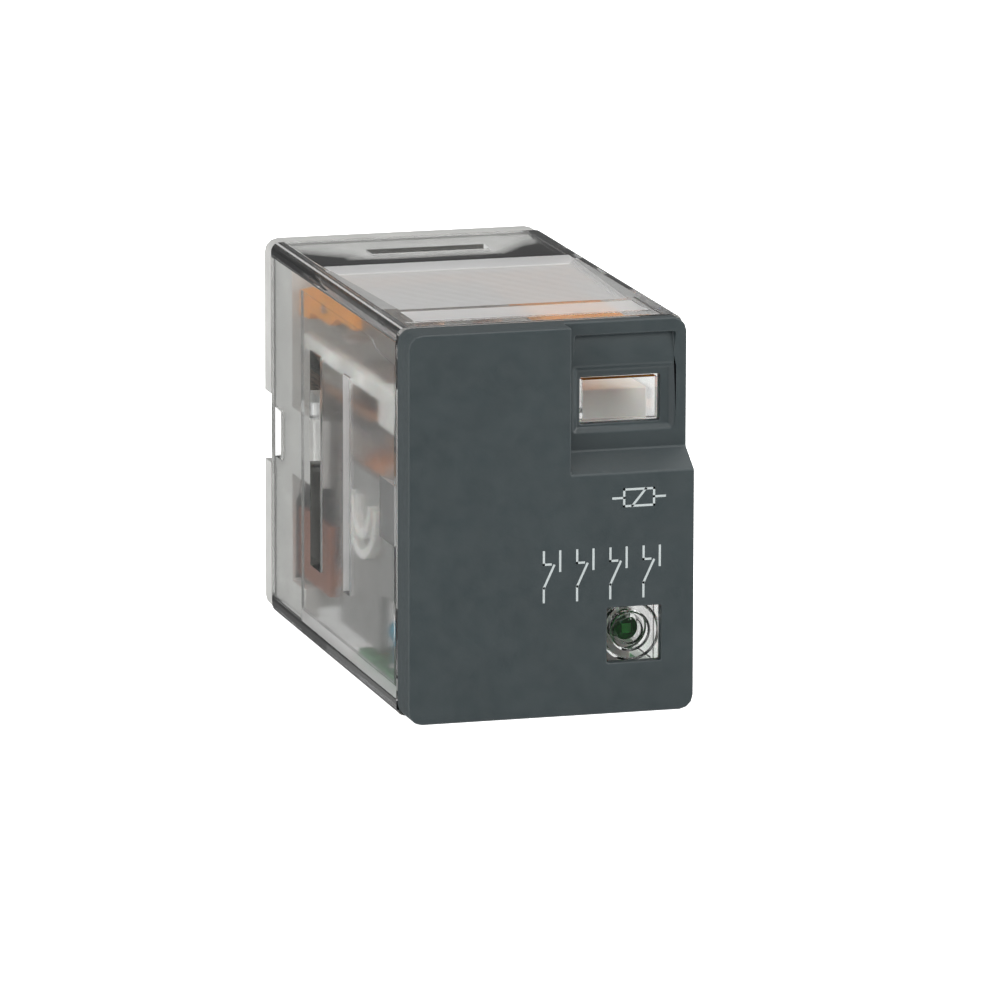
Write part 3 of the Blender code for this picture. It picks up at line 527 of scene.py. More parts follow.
def slab(name: str, outline: list[tuple[float, float]], axis: int, low: float, high: float,
         shrink: float = 0.0) -> bpy.types.Object:
    """An outline drawn out along an axis.

    Args:
        name: The object's name.
        outline: Points in the other two axes, in their order.
        axis: The axis that it is drawn out along.
        low: Where it starts on that axis.
        high: Where it ends.
        shrink: How far the high end is drawn in on every side, for sloped walls.

    Returns:
        The object.
    """
    others = [i for i in range(3) if i != axis]
    middle = [sum(p[k] for p in outline) / len(outline) for k in range(2)]
    rings = []
    shape = bmesh.new()
    for level, inset in ((low, 0.0), (high, shrink)):
        ring = []
        for point in outline:
            place = [0.0, 0.0, 0.0]
            place[axis] = level
            for k, i in enumerate(others):
                away = point[k] - middle[k]
                place[i] = point[k] - math.copysign(inset, away)
            ring.append(shape.verts.new(place))
        rings.append(ring)
    shape.faces.new(rings[0])
    shape.faces.new(rings[1])
    for i in range(len(outline)):
        j = (i + 1) % len(outline)
        shape.faces.new((rings[0][i], rings[0][j], rings[1][j], rings[1][i]))
    bmesh.ops.recalc_face_normals(shape, faces=shape.faces)
    return from_shape(name, shape)


def lathe(name: str, profile: list[tuple[float, float]], centre: Point, axis: str = "Y",
          sides: int = 48) -> bpy.types.Object:
    """A turned solid.

    Args:
        name: The object's name.
        profile: Pairs of radius and height; it starts and ends on the axis, or is closed.
        centre: Where the axis and height 0 are.
        axis: Y turns heights towards the front, Z upwards, X to the right.
        sides: The facets round it.

    Returns:
        The object.
    """
    shape = bmesh.new()
    closed = profile[0] == profile[-1]
    points = profile[:-1] if closed else profile
    verts = [shape.verts.new((r, 0, h)) for r, h in points]
    pairs = list(zip(verts, verts[1:]))
    if closed:
        pairs.append((verts[-1], verts[0]))
    edges = [shape.edges.new(pair) for pair in pairs]
    bmesh.ops.spin(shape, geom=verts + edges, cent=(0, 0, 0), axis=(0, 0, 1),
                   angle=2 * math.pi, steps=sides, use_merge=True)
    bmesh.ops.remove_doubles(shape, verts=shape.verts, dist=1e-7)
    bmesh.ops.recalc_face_normals(shape, faces=shape.faces)
    turn = {"X": Matrix.Rotation(math.pi / 2, 4, "Y"),
            "Y": Matrix.Rotation(math.pi / 2, 4, "X"),
            "Z": Matrix.Identity(4)}[axis]
    bmesh.ops.transform(shape, matrix=Matrix.Translation(centre) @ turn, verts=shape.verts)
    return from_shape(name, shape)


def tube(name: str, path: list[Point], radius: float, sides: int = 12) -> bpy.types.Object:
    """A round wire along points, with closed ends.

    Args:
        name: The object's name.
        path: The points of its middle line.
        radius: The wire's radius.
        sides: The facets round it.

    Returns:
        The object.
    """
    curve = bpy.data.curves.new(name, "CURVE")
    curve.dimensions = "3D"
    curve.bevel_depth = radius
    curve.bevel_resolution = sides // 4
    curve.use_fill_caps = True
    spline = curve.splines.new("POLY")
    spline.points.add(len(path) - 1)
    for point, place in zip(spline.points, path):
        point.co = (*place, 1.0)
    obj = bpy.data.objects.new(name, curve)
    bpy.context.scene.collection.objects.link(obj)
    bpy.context.view_layer.update()
    mesh = bpy.data.meshes.new_from_object(
        obj.evaluated_get(bpy.context.evaluated_depsgraph_get()))
    bpy.data.objects.remove(obj)
    weld(mesh)
    return new_object(name, mesh)


def weld(mesh: bpy.types.Mesh) -> None:
    """Merge doubled points and turn the faces outwards.

    Args:
        mesh: The mesh.
    """
    shape = bmesh.new()
    shape.from_mesh(mesh)
    bmesh.ops.remove_doubles(shape, verts=shape.verts, dist=1e-6)
    bmesh.ops.recalc_face_normals(shape, faces=shape.faces)
    shape.to_mesh(mesh)
    shape.free()


def combine(target: bpy.types.Object, tools: list[bpy.types.Object],
            operation: str = "DIFFERENCE") -> bpy.types.Object:
    """Cut tools out of a shape, or join them to it, and remove them.

    Args:
        target: The shape.
        tools: The other shapes, which are used up.
        operation: DIFFERENCE cuts, UNION joins.

    Returns:
        The shape.
    """
    for tool in tools:
        modifier = target.modifiers.new(tool.name, "BOOLEAN")
        modifier.operation = operation
        modifier.solver = "EXACT"
        modifier.object = tool
        settle(target)
        bpy.data.objects.remove(tool)
    return target


def join(target: bpy.types.Object, others: list[bpy.types.Object]) -> bpy.types.Object:
    """Add other pieces' faces to a piece, keeping its own materials.

    Args:
        target: The piece.
        others: The other pieces, which are used up.

    Returns:
        The piece.
    """
    shape = bmesh.new()
    shape.from_mesh(target.data)
    for other in others:
        shape.from_mesh(other.data)
        bpy.data.objects.remove(other)
    shape.to_mesh(target.data)
    shape.free()
    return target


def tidy_faces(obj: bpy.types.Object, angle: float = 1.0) -> bpy.types.Object:
    """Merge doubled points and the triangles of flat faces.

    Args:
        obj: The object.
        angle: The greatest angle between faces that are merged, in degrees.

    Returns:
        The same object.
    """
    shape = bmesh.new()
    shape.from_mesh(obj.data)
    bmesh.ops.remove_doubles(shape, verts=shape.verts, dist=2e-6)
    bmesh.ops.dissolve_limit(shape, angle_limit=math.radians(angle), verts=shape.verts,
                             edges=shape.edges, use_dissolve_boundaries=False)
    shape.to_mesh(obj.data)
    shape.free()
    return obj


def soften(obj: bpy.types.Object, width: float, segments: int = 2,
           angle: float = 35.0) -> bpy.types.Object:
    """Round the edges of a shape and shade it smoothly between them.

    Args:
        obj: The shape.
        width: The width of the rounding.
        segments: Its facets.
        angle: The least angle of an edge that is rounded, in degrees.

    Returns:
        The same object.
    """
    tidy_faces(obj)
    bevel = obj.modifiers.new("edges", "BEVEL")
    bevel.width = width
    bevel.segments = segments
    bevel.limit_method = "ANGLE"
    bevel.angle_limit = math.radians(angle)
    bevel.use_clamp_overlap = True
    bevel.miter_outer = "MITER_ARC"
    settle(obj)
    return smooth(obj)


def smooth(obj: bpy.types.Object, angle: float = 50.0) -> bpy.types.Object:
    """Shade a piece smoothly, with its large faces kept flat.

    Args:
        obj: The piece.
        angle: The least angle of an edge that stays sharp, in degrees.

    Returns:
        The same object.
    """
    obj.data.shade_smooth()
    obj.data.set_sharp_from_angle(angle=math.radians(angle))
    normals = obj.modifiers.new("normals", "WEIGHTED_NORMAL")
    normals.mode = "FACE_AREA"
    normals.weight = 100
    normals.keep_sharp = True
    return settle(obj)


def copy_node(name: str, node: str) -> bpy.types.Object:
    """A copy of a CAD node's shape, with its loose triangles merged.

    Args:
        name: The copy's name.
        node: The node's name.

    Returns:
        The copy.
    """
    mesh = bpy.data.objects[node].data.copy()
    mesh.materials.clear()
    return tidy_faces(new_object(name, mesh))


def dress(obj: bpy.types.Object, *materials: bpy.types.Material) -> bpy.types.Object:
    """Give a piece its materials, in the order of its faces' indices.

    Args:
        obj: The piece.
        materials: The materials.

    Returns:
        The same object.
    """
    obj.data.materials.clear()
    for material in materials:
        obj.data.materials.append(material)
    return obj


def place(obj: bpy.types.Object, body: Body, slot: Slot, *nodes: str) -> bpy.types.Object:
    """Hand a finished piece to the frame.

    Args:
        obj: The piece.
        body: The body that it rides on.
        slot: The record's material slot; not used.
        nodes: The CAD nodes that it stands for.

    Returns:
        The piece.
    """
    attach(obj, body.value)
    if nodes:
        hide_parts(*nodes)
    LOG.info("%s: %d faces on %s", obj.name, len(obj.data.polygons), body.value)
    return obj


class GeometryTree:
    """A Geometry Nodes tree that is built here, run once and turned into a plain mesh."""

    def __init__(self, name: str, **inputs: float | int) -> None:
        """Start a tree with named number inputs.

        Args:
            name: The tree's name.
            inputs: Each input's name and value; an int makes an integer input.
        """
        self.tree = bpy.data.node_groups.new(name, "GeometryNodeTree")
        face = self.tree.interface
        face.new_socket("Geometry", in_out="INPUT", socket_type="NodeSocketGeometry")
        self.values = {}
        for label, value in inputs.items():
            kind = "NodeSocketInt" if isinstance(value, int) else "NodeSocketFloat"
            socket = face.new_socket(label, in_out="INPUT", socket_type=kind)
            self.values[socket.identifier] = value
        face.new_socket("Geometry", in_out="OUTPUT", socket_type="NodeSocketGeometry")
        self.source = self.tree.nodes.new("NodeGroupInput")
        self.result = self.tree.nodes.new("NodeGroupOutput")

    def given(self, label: str) -> bpy.types.NodeSocket:
        """The tree's input of that name."""
        return self.source.outputs[label]

    def node(self, kind: str, settings: dict[str, object] | None = None,
             **sockets: object) -> bpy.types.Node:
        """Add a node.

        Args:
            kind: The node's type.
            settings: Properties of the node itself.
            sockets: A value or an output for each input, with _ for a space in its name.

        Returns:
            The node.
        """
        node = self.tree.nodes.new(kind)
        for label, value in (settings or {}).items():
            setattr(node, label, value)
        for label, value in sockets.items():
            socket = next(s for s in node.inputs if s.enabled
                          and s.name.replace(" ", "_").lower() == label.lower())
            if isinstance(value, bpy.types.NodeSocket):
                self.tree.links.new(value, socket)
            else:
                socket.default_value = value
        return node

    def math(self, operation: str, first: object, second: object = 0.0) -> bpy.types.NodeSocket:
        """Arithmetic on two numbers or fields.

        Args:
            operation: The kind of arithmetic.
            first: A number or an output.
            second: A number or an output.

        Returns:
            The result.
        """
        node = self.tree.nodes.new("ShaderNodeMath")
        node.operation = operation
        for socket, value in zip(node.inputs, (first, second)):
            if isinstance(value, bpy.types.NodeSocket):
                self.tree.links.new(value, socket)
            else:
                socket.default_value = value
        return node.outputs[0]

    def vector(self, x: object, y: object, z: object) -> bpy.types.NodeSocket:
        """A vector from three numbers or fields.

        Args:
            x: A number or an output.
            y: A number or an output.
            z: A number or an output.

        Returns:
            The vector.
        """
        node = self.tree.nodes.new("ShaderNodeCombineXYZ")
        for socket, value in zip(node.inputs, (x, y, z)):
            if isinstance(value, bpy.types.NodeSocket):
                self.tree.links.new(value, socket)
            else:
                socket.default_value = value
        return node.outputs[0]

    def run(self, name: str, geometry: bpy.types.NodeSocket, material: bpy.types.Material,
            points: list[Point] | None = None, chain: bool = False) -> bpy.types.Object:
        """Finish the tree with Realize Instances and Set Material, and run it.

        Args:
            name: The name of the object that it makes.
            geometry: The output that holds the shape.
            material: The finish that it gets.
            points: The points that the tree is given, or none.
            chain: Whether edges join those points in order.

        Returns:
            A plain mesh object.
        """
        whole = self.node("GeometryNodeRealizeInstances", Geometry=geometry)
        final = self.node("GeometryNodeSetMaterial", Geometry=whole.outputs[0],
                          Material=material)
        self.tree.links.new(final.outputs[0], self.result.inputs[0])
        start = bpy.data.meshes.new(f"{name}_points")
        edges = [(i, i + 1) for i in range(len(points) - 1)] if chain and points else []
        start.from_pydata(points or [], edges, [])
        obj = new_object(name, start)
        modifier = obj.modifiers.new("tree", "NODES")
        modifier.node_group = self.tree
        for identifier, value in self.values.items():
            modifier[identifier] = value
        return settle(obj)


# ------------------------------------------------------------------- case


class CaseFace(IntEnum):
    """The finishes of the case's faces, in the order of its materials."""

    CLEAR = 0
    FROST = 1
    RIBBED = 2
    # Painted shade: dark tinted glass on the rounded long edges and on vent ends.
    EDGE = 3
    MILKY = 4


@dataclass
class ClearCase:
    """The clear case: frosted sides, a ribbed top panel, vents and a ringed LED lens.

    Pairs of sizes are a depth and a width, or a width and a height, unless a note says
    otherwise. Depths run forwards from the seating face.
    """

    finishes: Finishes
    wall: float = 1.0 * MM
    edge: float = 0.66 * MM
    hollow_edge: float = 0.25 * MM
    shoulder: float = 37.0 * MM
    back: float = 1.95 * MM
    cap_wall: float = 0.9 * MM
    fit: float = 0.2 * MM
    recess_width: float = 9.1 * MM
    recess_height: float = 10.6 * MM
    side_vents: tuple[tuple[float, float], ...] = ((14.6 * MM, 2.9 * MM), (23.3 * MM, 1.7 * MM))
    vent_length: float = 16.0 * MM
    notch_reach: tuple[float, float] = (0.1 * MM, 0.15 * MM)        # into the vent, behind it
    notch_ends: tuple[float, float] = (-0.3 * MM, 5.0 * MM)         # Z
    top_vent: Point = (9.0 * MM, 1.8 * MM, 7.5 * MM)                # length, width, depth
    latch: Point = (3.85 * MM, 1.7 * MM, 3.7 * MM)                  # depth, width, height
    panel: tuple[float, float] = (13.6 * MM, 30.4 * MM)             # depths of its ends
    panel_half: tuple[float, float] = (9.3 * MM, 8.5 * MM)          # half widths of its ends
    panel_sink: float = 0.35 * MM
    panel_draft: float = 0.45 * MM
    slope_reach: tuple[float, float] = (1.3 * MM, 0.7 * MM)         # behind the panel, into it
    strip_half: float = 8.6 * MM
    strip_gap: float = 0.5 * MM
    strip_end: float = 34.9 * MM
    strip_sink: float = 0.06 * MM
    groove: Point = (35.2 * MM, 0.3 * MM, 0.14 * MM)                # depth, half width, sink
    frost_sink: float = 0.22 * MM
    frost_margin: float = 2.1 * MM                                  # below the top
    frost_bends: tuple[tuple[float, float], ...] = (                # depth, drop of the upper edge
        (10.0 * MM, 0.0), (29.9 * MM, 0.0), (31.0 * MM, 0.55 * MM), (35.8 * MM, 0.8 * MM))
    low_strip: tuple[float, float] = (-12.9 * MM, -12.0 * MM)       # Z
    low_strip_ends: tuple[float, float] = (10.0 * MM, 36.3 * MM)    # depths
    low_strip_sink: float = 0.1 * MM
    lead_in: float = 0.2 * MM                                       # side cutters inside the wall
    rib_pitch: float = 0.48 * MM
    rib_margins: tuple[float, float] = (0.5 * MM, 0.6 * MM)         # first rib, all ribs together
    rib_overhang: float = 0.5 * MM
    rib_share: float = 0.56                                         # radius to pitch
    rib_rise: float = 0.1 * MM
    snap: tuple[tuple[float, float], ...] = (                       # inwards, depth
        (-0.3 * MM, 31.5 * MM), (0.45 * MM, 35.3 * MM), (0.45 * MM, 35.9 * MM),
        (-0.3 * MM, 36.3 * MM))
    snap_ends: tuple[float, float] = (-2.0 * MM, 2.4 * MM)          # Z
    window_x: float = 5.65 * MM
    window_z: float = 8.275 * MM
    window_size: tuple[float, float] = (5.5 * MM, 2.95 * MM)
    window_front: float = 37.88 * MM
    led: tuple[float, float] = (6.1 * MM, -8.3 * MM)                # X, Z
    collar: tuple[float, float] = (1.15 * MM, 1.5 * MM)             # inner, outer radius
    collar_ends: tuple[float, float] = (0.5 * MM, 1.9 * MM)         # behind the lens, length
    rings: tuple[tuple[float, float], ...] = ((1.4 * MM, 0.25 * MM), (2.07 * MM, 0.3 * MM))
    ring_sink: float = 0.3 * MM
    dish: Point = (1.0 * MM, 0.93 * MM, 0.6 * MM)                   # outer, inner radius, sink
    rounding: float = 0.07 * MM

    def build(self) -> None:
        """Make the case and hand it to the frame."""
        low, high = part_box("case")
        self.half, self.top, self.rim = high.x, high.z, -low.y
        shell = self.outer()
        combine(shell, self.hollows())
        combine(shell, self.openings())
        combine(shell, self.panels())
        combine(shell, [self.ribs()])
        combine(shell, self.lens_rings() + self.snaps(), "UNION")
        combine(shell, self.lens_grooves())
        soften(shell, self.rounding, 2)
        f = self.finishes
        dress(shell, f.clear, f.frost, f.ribbed, f.edge, f.milky)
        self.frost(shell)
        shell.visible_shadow = False
        place(shell, Body.FRAME, Slot.CLEAR, "case")

    def outer(self) -> bpy.types.Object:
        """The body of the case with the stepped rim that the cap grips and the window pad.

        Returns:
            The solid body.
        """
        half, top = self.half, self.top
        shell = block("clear_case", (-half, -self.shoulder, -top), (half, -self.back, top),
                      self.edge)
        rim = half - self.cap_wall - self.fit
        rim_top = top - self.cap_wall - self.fit
        step_x = half - self.recess_width - self.cap_wall - self.fit
        step_z = top - self.recess_height - self.cap_wall - self.fit
        overlap = -self.shoulder + self.wall / 2
        width, height = (size / 2 for size in self.window_size)
        rims = [block("rim_left", (-rim, -self.rim, -rim_top), (step_x, overlap, rim_top)),
                block("rim_low", (-rim, -self.rim, -rim_top), (rim, overlap, step_z)),
                block("pad", (self.window_x - width, -self.window_front, self.window_z - height),
                      (self.window_x + width, overlap, self.window_z + height))]
        return combine(shell, rims, "UNION")

    def hollows(self) -> list[bpy.types.Object]:
        """The inside, drawn in at the step behind the cap.

        Returns:
            The shapes to cut out.
        """
        side, top = self.half - self.wall, self.top - self.wall
        front = self.shoulder - self.wall
        rim = self.half - 2 * self.cap_wall - self.fit
        rim_top = self.top - 2 * self.cap_wall - self.fit
        deep = -front + self.wall
        rim_front = -self.rim + self.wall
        step_x = self.half - self.recess_width - self.cap_wall - self.fit - self.wall
        step_z = self.top - self.recess_height - self.cap_wall - self.fit - self.wall
        return [block("hollow", (-side, -front, -top), (side, self.wall, top),
                      self.hollow_edge),
                block("rim_hollow_left", (-rim, rim_front, -rim_top), (step_x, deep, rim_top)),
                block("rim_hollow_low", (-rim, rim_front, -rim_top), (rim, deep, step_z))]

    def openings(self) -> list[bpy.types.Object]:
        """Side vents, the top vent and the latch windows.

        Returns:
            The shapes to cut out.
        """
        beyond = self.half * 2
        cuts = []
        for depth, width in self.side_vents:
            cuts.append(block("vent", (-beyond, -depth - width / 2, -self.vent_length / 2),
                              (beyond, -depth + width / 2, self.vent_length / 2)))
        rear = self.side_vents[0][0] - self.side_vents[0][1] / 2
        into, behind = self.notch_reach
        low, high = self.notch_ends
        cuts.append(block("vent_notch", (-beyond, -rear - into, low),
                          (beyond, -rear + behind, high)))
        length, width, depth = self.top_vent
        cuts.append(block("top_vent", (-length / 2, -depth - width / 2, self.top - 2 * self.wall),
                          (length / 2, -depth + width / 2, self.top + self.wall)))
        depth, width, height = self.latch
        cuts.append(block("latch", (-beyond, -depth - width / 2, -height / 2),
                          (beyond, -depth + width / 2, height / 2)))
        return cuts

    def panels(self) -> list[bpy.types.Object]:
        """The sunk panel of the top, a strip and a groove ahead of it, and steps inside the sides.

        Returns:
            The shapes to cut out.
        """
        near, far = self.panel
        wide, narrow = self.panel_half
        over, floor = self.top + OVER, self.top - self.panel_sink
        outline = [(-wide, -near), (wide, -near), (narrow, -far), (-narrow, -far)]
        cuts = [slab("panel", outline, 2, over, floor, self.panel_draft)]
        behind, into = self.slope_reach
        slope = [(-near + behind, over), (-near - into, over), (-near - into, floor - OVER)]
        cuts.append(slab("slope", slope, 0, -wide, wide))
        over = self.top + 2 * OVER
        half, start, end = self.strip_half, -far - self.strip_gap, -self.strip_end
        strip = [(-half, start), (half, start), (half, end), (-half, end)]
        cuts.append(slab("strip", strip, 2, over, self.top - self.strip_sink))
        depth, reach, sink = self.groove
        groove = [(-depth - reach, over), (-depth + reach, over), (-depth, self.top - sink)]
        cuts.append(slab("groove", groove, 0, -wide, wide))
        level = self.top - self.frost_margin
        step = [(-self.frost_bends[0][0], -level)]
        step += [(-depth, level - drop) for depth, drop in self.frost_bends]
        step.append((-self.frost_bends[-1][0], -level))
        low, high = self.low_strip
        rear, front = self.low_strip_ends
        strip = [(-rear, low), (-rear, high), (-front, high), (-front, low)]
        inner = self.half - self.wall
        for side in (-1, 1):
            for name, shape, sink in (("frost_step", step, self.frost_sink),
                                      ("low_strip", strip, self.low_strip_sink)):
                ends = sorted((side * (inner - self.lead_in), side * (inner + sink)))
                cuts.append(slab(name, shape, 0, *ends))
        return cuts

    def ribs(self) -> bpy.types.Object:
        """V grooves across the panel, as one cutter.

        Returns:
            The cutter.
        """
        near, far = self.panel
        first, both = self.rib_margins
        count = int((far - near - both) / self.rib_pitch)
        tree = GeometryTree("panel_ribs", Count=count, Pitch=self.rib_pitch,
                            Length=2 * self.panel_half[0] + self.rib_overhang,
                            Radius=self.rib_pitch * self.rib_share)
        step = tree.vector(0.0, tree.math("MULTIPLY", tree.given("Pitch"), -1.0), 0.0)
        start = (0.0, -near - first, self.top - self.panel_sink + self.rib_rise)
        line = tree.node("GeometryNodeMeshLine", {"mode": "OFFSET"}, Count=tree.given("Count"),
                         Start_Location=start, Offset=step)
        prism = tree.node("GeometryNodeMeshCylinder", Vertices=3, Radius=tree.given("Radius"),
                          Depth=tree.given("Length"))
        turned = tree.node("GeometryNodeTransform", Geometry=prism.outputs["Mesh"],
                           Rotation=(0.0, math.pi / 2, 0.0))
        grid = tree.node("GeometryNodeInstanceOnPoints", Points=line.outputs["Mesh"],
                         Instance=turned.outputs[0])
        return tree.run("panel_ribs", grid.outputs[0], self.finishes.ribbed)

    def snaps(self) -> list[bpy.types.Object]:
        """Ramps inside the side walls that the works snap past.

        Returns:
            The ramps.
        """
        ramps = []
        inner = self.half - self.wall
        for side in (-1, 1):
            outline = [(side * (inner - reach), -depth) for reach, depth in self.snap]
            ramps.append(slab("ramp", outline, 2, *self.snap_ends))
        return ramps

    def lens_rings(self) -> list[bpy.types.Object]:
        """The collar that stands round the LED behind the lens.

        Returns:
            The collar.
        """
        x, z = self.led
        inside, outside = self.collar
        behind, length = self.collar_ends
        front = self.rim - behind
        collar = [(inside, front), (outside, front), (outside, front - length),
                  (inside, front - length), (inside, front)]
        return [lathe("collar", collar, (x, 0, z))]

    def lens_grooves(self) -> list[bpy.types.Object]:
        """Rings cut in the lens and a shallow dish in its middle.

        Returns:
            The shapes to cut out.
        """
        x, z = self.led
        cuts = []
        face = self.rim + 2 * OVER
        for radius, width in self.rings:
            profile = [(radius - width / 2, face), (radius + width / 2, face),
                       (radius, self.rim - self.ring_sink), (radius - width / 2, face)]
            cuts.append(lathe("ring", profile, (x, 0, z)))
        outer, inner, sink = self.dish
        beyond = self.rim + self.ring_sink
        dish = [(0.0, beyond), (outer, beyond), (inner, self.rim - sink), (0.0, self.rim - sink)]
        cuts.append(lathe("dish", dish, (x, 0, z)))
        return cuts

    def frost(self, shell: bpy.types.Object) -> None:
        """Give every face of the case its finish.

        Args:
            shell: The case.
        """
        points = shell.data.vertices
        for face in shell.data.polygons:
            corners = [points[i].co for i in face.vertices]
            face.material_index = self.finish_of(face.center, face.normal, corners)

    def finish_of(self, middle: Vector, normal: Vector, corners: list[Vector]) -> CaseFace:
        """The finish of one face, from where it is and which way it looks.

        Args:
            middle: The middle of the face.
            normal: Its normal.
            corners: Its corners.

        Returns:
            The finish.
        """
        inner = self.half - self.wall
        near, far = self.panel
        slack = 2 * OVER
        level = self.top - self.frost_margin + slack
        behind, into = self.slope_reach
        rear, front = -max(c.y for c in corners), -min(c.y for c in corners)
        across, upward = abs(normal.x), abs(normal.z)
        outside = abs(middle.x) - inner
        in_side = (-slack < outside < self.frost_sink + 0.13 * MM and across > FACING
                   and middle.y > -self.shoulder)
        below_top = (min(c.z for c in corners) > self.top - 0.8 * self.wall
                     and middle.z < self.top - 0.02 * MM)
        on_strip = abs(self.top - self.strip_sink - middle.z) < 0.01 * MM and upward > FACING
        on_low_strip = 0.03 * MM < outside < self.low_strip_sink + OVER and middle.z < -level
        rounded = 0.2 < across < 0.98 and upward > 0.2
        if in_side and -level < middle.z < level + 0.2 * MM:
            return CaseFace.FROST
        if below_top and near - behind - slack < rear and front < near + into + slack:
            return CaseFace.MILKY
        if below_top and near - slack < rear and front < far + slack:
            return CaseFace.RIBBED
        if on_strip or on_low_strip:
            return CaseFace.MILKY
        # Vent and slot ends: the front vent's outer ends are milky, the rest get the dark tinted
        # glass as painted shade for the dark inside seen through them.
        if abs(normal.y) > FACING and self.in_slot(middle):
            front_vent = outside > 0 and -middle.y > self.side_vents[0][0] + self.side_vents[0][1]
            return CaseFace.MILKY if front_vent else CaseFace.EDGE
        # Rounded long edges along the top and bottom get the dark tinted glass: painted shade for
        # their dark refraction.
        if (rounded and outside > -0.3 * MM
                and abs(middle.z) > self.top - self.wall - 0.3 * MM):
            return CaseFace.EDGE
        return CaseFace.CLEAR

    def in_slot(self, middle: Vector) -> bool:
        """Whether a face's middle is on the end of a side vent or of the top slot.

        Args:
            middle: The middle of the face.

        Returns:
            True where it is.
        """
        depth = -middle.y
        for vent, width in self.side_vents:
            if abs(abs(depth - vent) - width / 2) < OVER and abs(middle.x) > self.half - self.wall:
                return True
        length, width, vent = self.top_vent
        return abs(abs(depth - vent) - width / 2) < 2 * OVER and middle.z > self.top - self.wall


# -------------------------------------------------------------- front cap


@dataclass
class FrontCap:
    """The dark cap: stepped corner, finger pocket, framed window and printed marks."""

    finishes: Finishes
    window: tuple[float, float, float, float] = (2.1 * MM, 9.6 * MM, 6.0 * MM, 10.8 * MM)
    recess_floor: float = 38.23 * MM
    line: float = 0.16 * MM
    ink: float = 0.01 * MM
    sink: float = 0.015 * MM
    scoop: Point = (0.02 * MM, 0.28 * MM, 0.35 * MM)                # ahead, behind, draft
    rounding: float = 0.14 * MM
    coil_mark: tuple[float, float, float, float] = (5.3 * MM, 7.5 * MM, 1.0 * MM, 2.2 * MM)
    coil_tails: tuple[float, float] = (4.5 * MM, 8.3 * MM)          # X of their ends
    coil_slash: tuple[float, float] = (5.9 * MM, 6.9 * MM)          # X of its ends
    contact_count: int = 4
    contact_start: float = -0.6 * MM
    contact_pitch: float = 2.45 * MM
    contact_strokes: tuple[tuple[float, float, float, float], ...] = (
        (0, -5.6, 0, -4.6), (0, -4.6, 0.75, -3.0), (0, -2.0, 0, -2.9), (0, -2.9, 0.5, -2.9),
        (1.2, -2.0, 1.2, -3.4))                                     # ends, in millimetres

    def build(self) -> None:
        """Make the cap and its marks."""
        cap = copy_node("cap_moulding", "front_cap")
        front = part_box("front_cap")[0].y
        for vert in cap.data.vertices:
            if vert.co.y < front + self.sink:
                vert.co.y = front + self.sink
        left, right, low, high = self.window
        outline = [(left, low), (right, low), (right, high), (left, high)]
        ahead, behind, draft = self.scoop
        scoop = slab("window_scoop", outline, 1, -self.recess_floor - ahead,
                     -self.recess_floor + behind, draft)
        combine(cap, [scoop])
        soften(cap, self.rounding, 3, 25.0)
        dress(cap, self.finishes.slate)
        place(cap, Body.FRAME, Slot.SLATE, "front_cap")
        marks = self.marks()
        dress(marks, self.finishes.ink)
        place(marks, Body.FRAME, Slot.GREY)

    def marks(self) -> bpy.types.Object:
        """Printed symbols: a coil above a row of changeover contacts.

        Returns:
            The marks, as one object.
        """
        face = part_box("front_cap")[0].y + self.sink
        strokes: list[tuple[tuple[float, float], tuple[float, float]]] = []
        left, right, low, high = self.coil_mark
        corners = [(left, low), (right, low), (right, high), (left, high)]
        strokes += list(zip(corners, corners[1:] + corners[:1]))
        middle = (low + high) / 2
        tails, slash = self.coil_tails, self.coil_slash
        strokes += [((tails[0], middle), (left, middle)), ((right, middle), (tails[1], middle)),
                    ((slash[0], low), (slash[1], high))]
        for i in range(self.contact_count):
            x = self.contact_start + i * self.contact_pitch
            strokes += [((x + a * MM, b * MM), (x + c * MM, d * MM))
                        for a, b, c, d in self.contact_strokes]
        shape = bmesh.new()
        for start, end in strokes:
            self.stroke(shape, start, end, face)
        return from_shape("cap_marks", shape)

    def stroke(self, shape: bmesh.types.BMesh, start: tuple[float, float],
               end: tuple[float, float], face: float) -> None:
        """One printed line: a thin closed block on the front of the cap.

        Args:
            shape: The edit mesh that it is added to.
            start: X and Z of one end.
            end: X and Z of the other end.
            face: Y of the cap's front.
        """
        a, b = Vector((start[0], 0, start[1])), Vector((end[0], 0, end[1]))
        along = (b - a).normalized() * self.line / 2
        across = Vector((-along.z, 0, along.x))
        corners = [a - along - across, b + along - across, b + along + across, a - along + across]
        made = bmesh.ops.create_cube(shape, size=1.0)["verts"]
        made.sort(key=lambda v: (v.co.y, v.co.z, v.co.x))
        for i, vert in enumerate(made):
            level = face - self.ink if i < 4 else face + self.ink
            corner = corners[(0, 1, 3, 2)[i % 4]]
            vert.co = Vector((corner.x, level, corner.z))


# ------------------------------------------------------------------- base


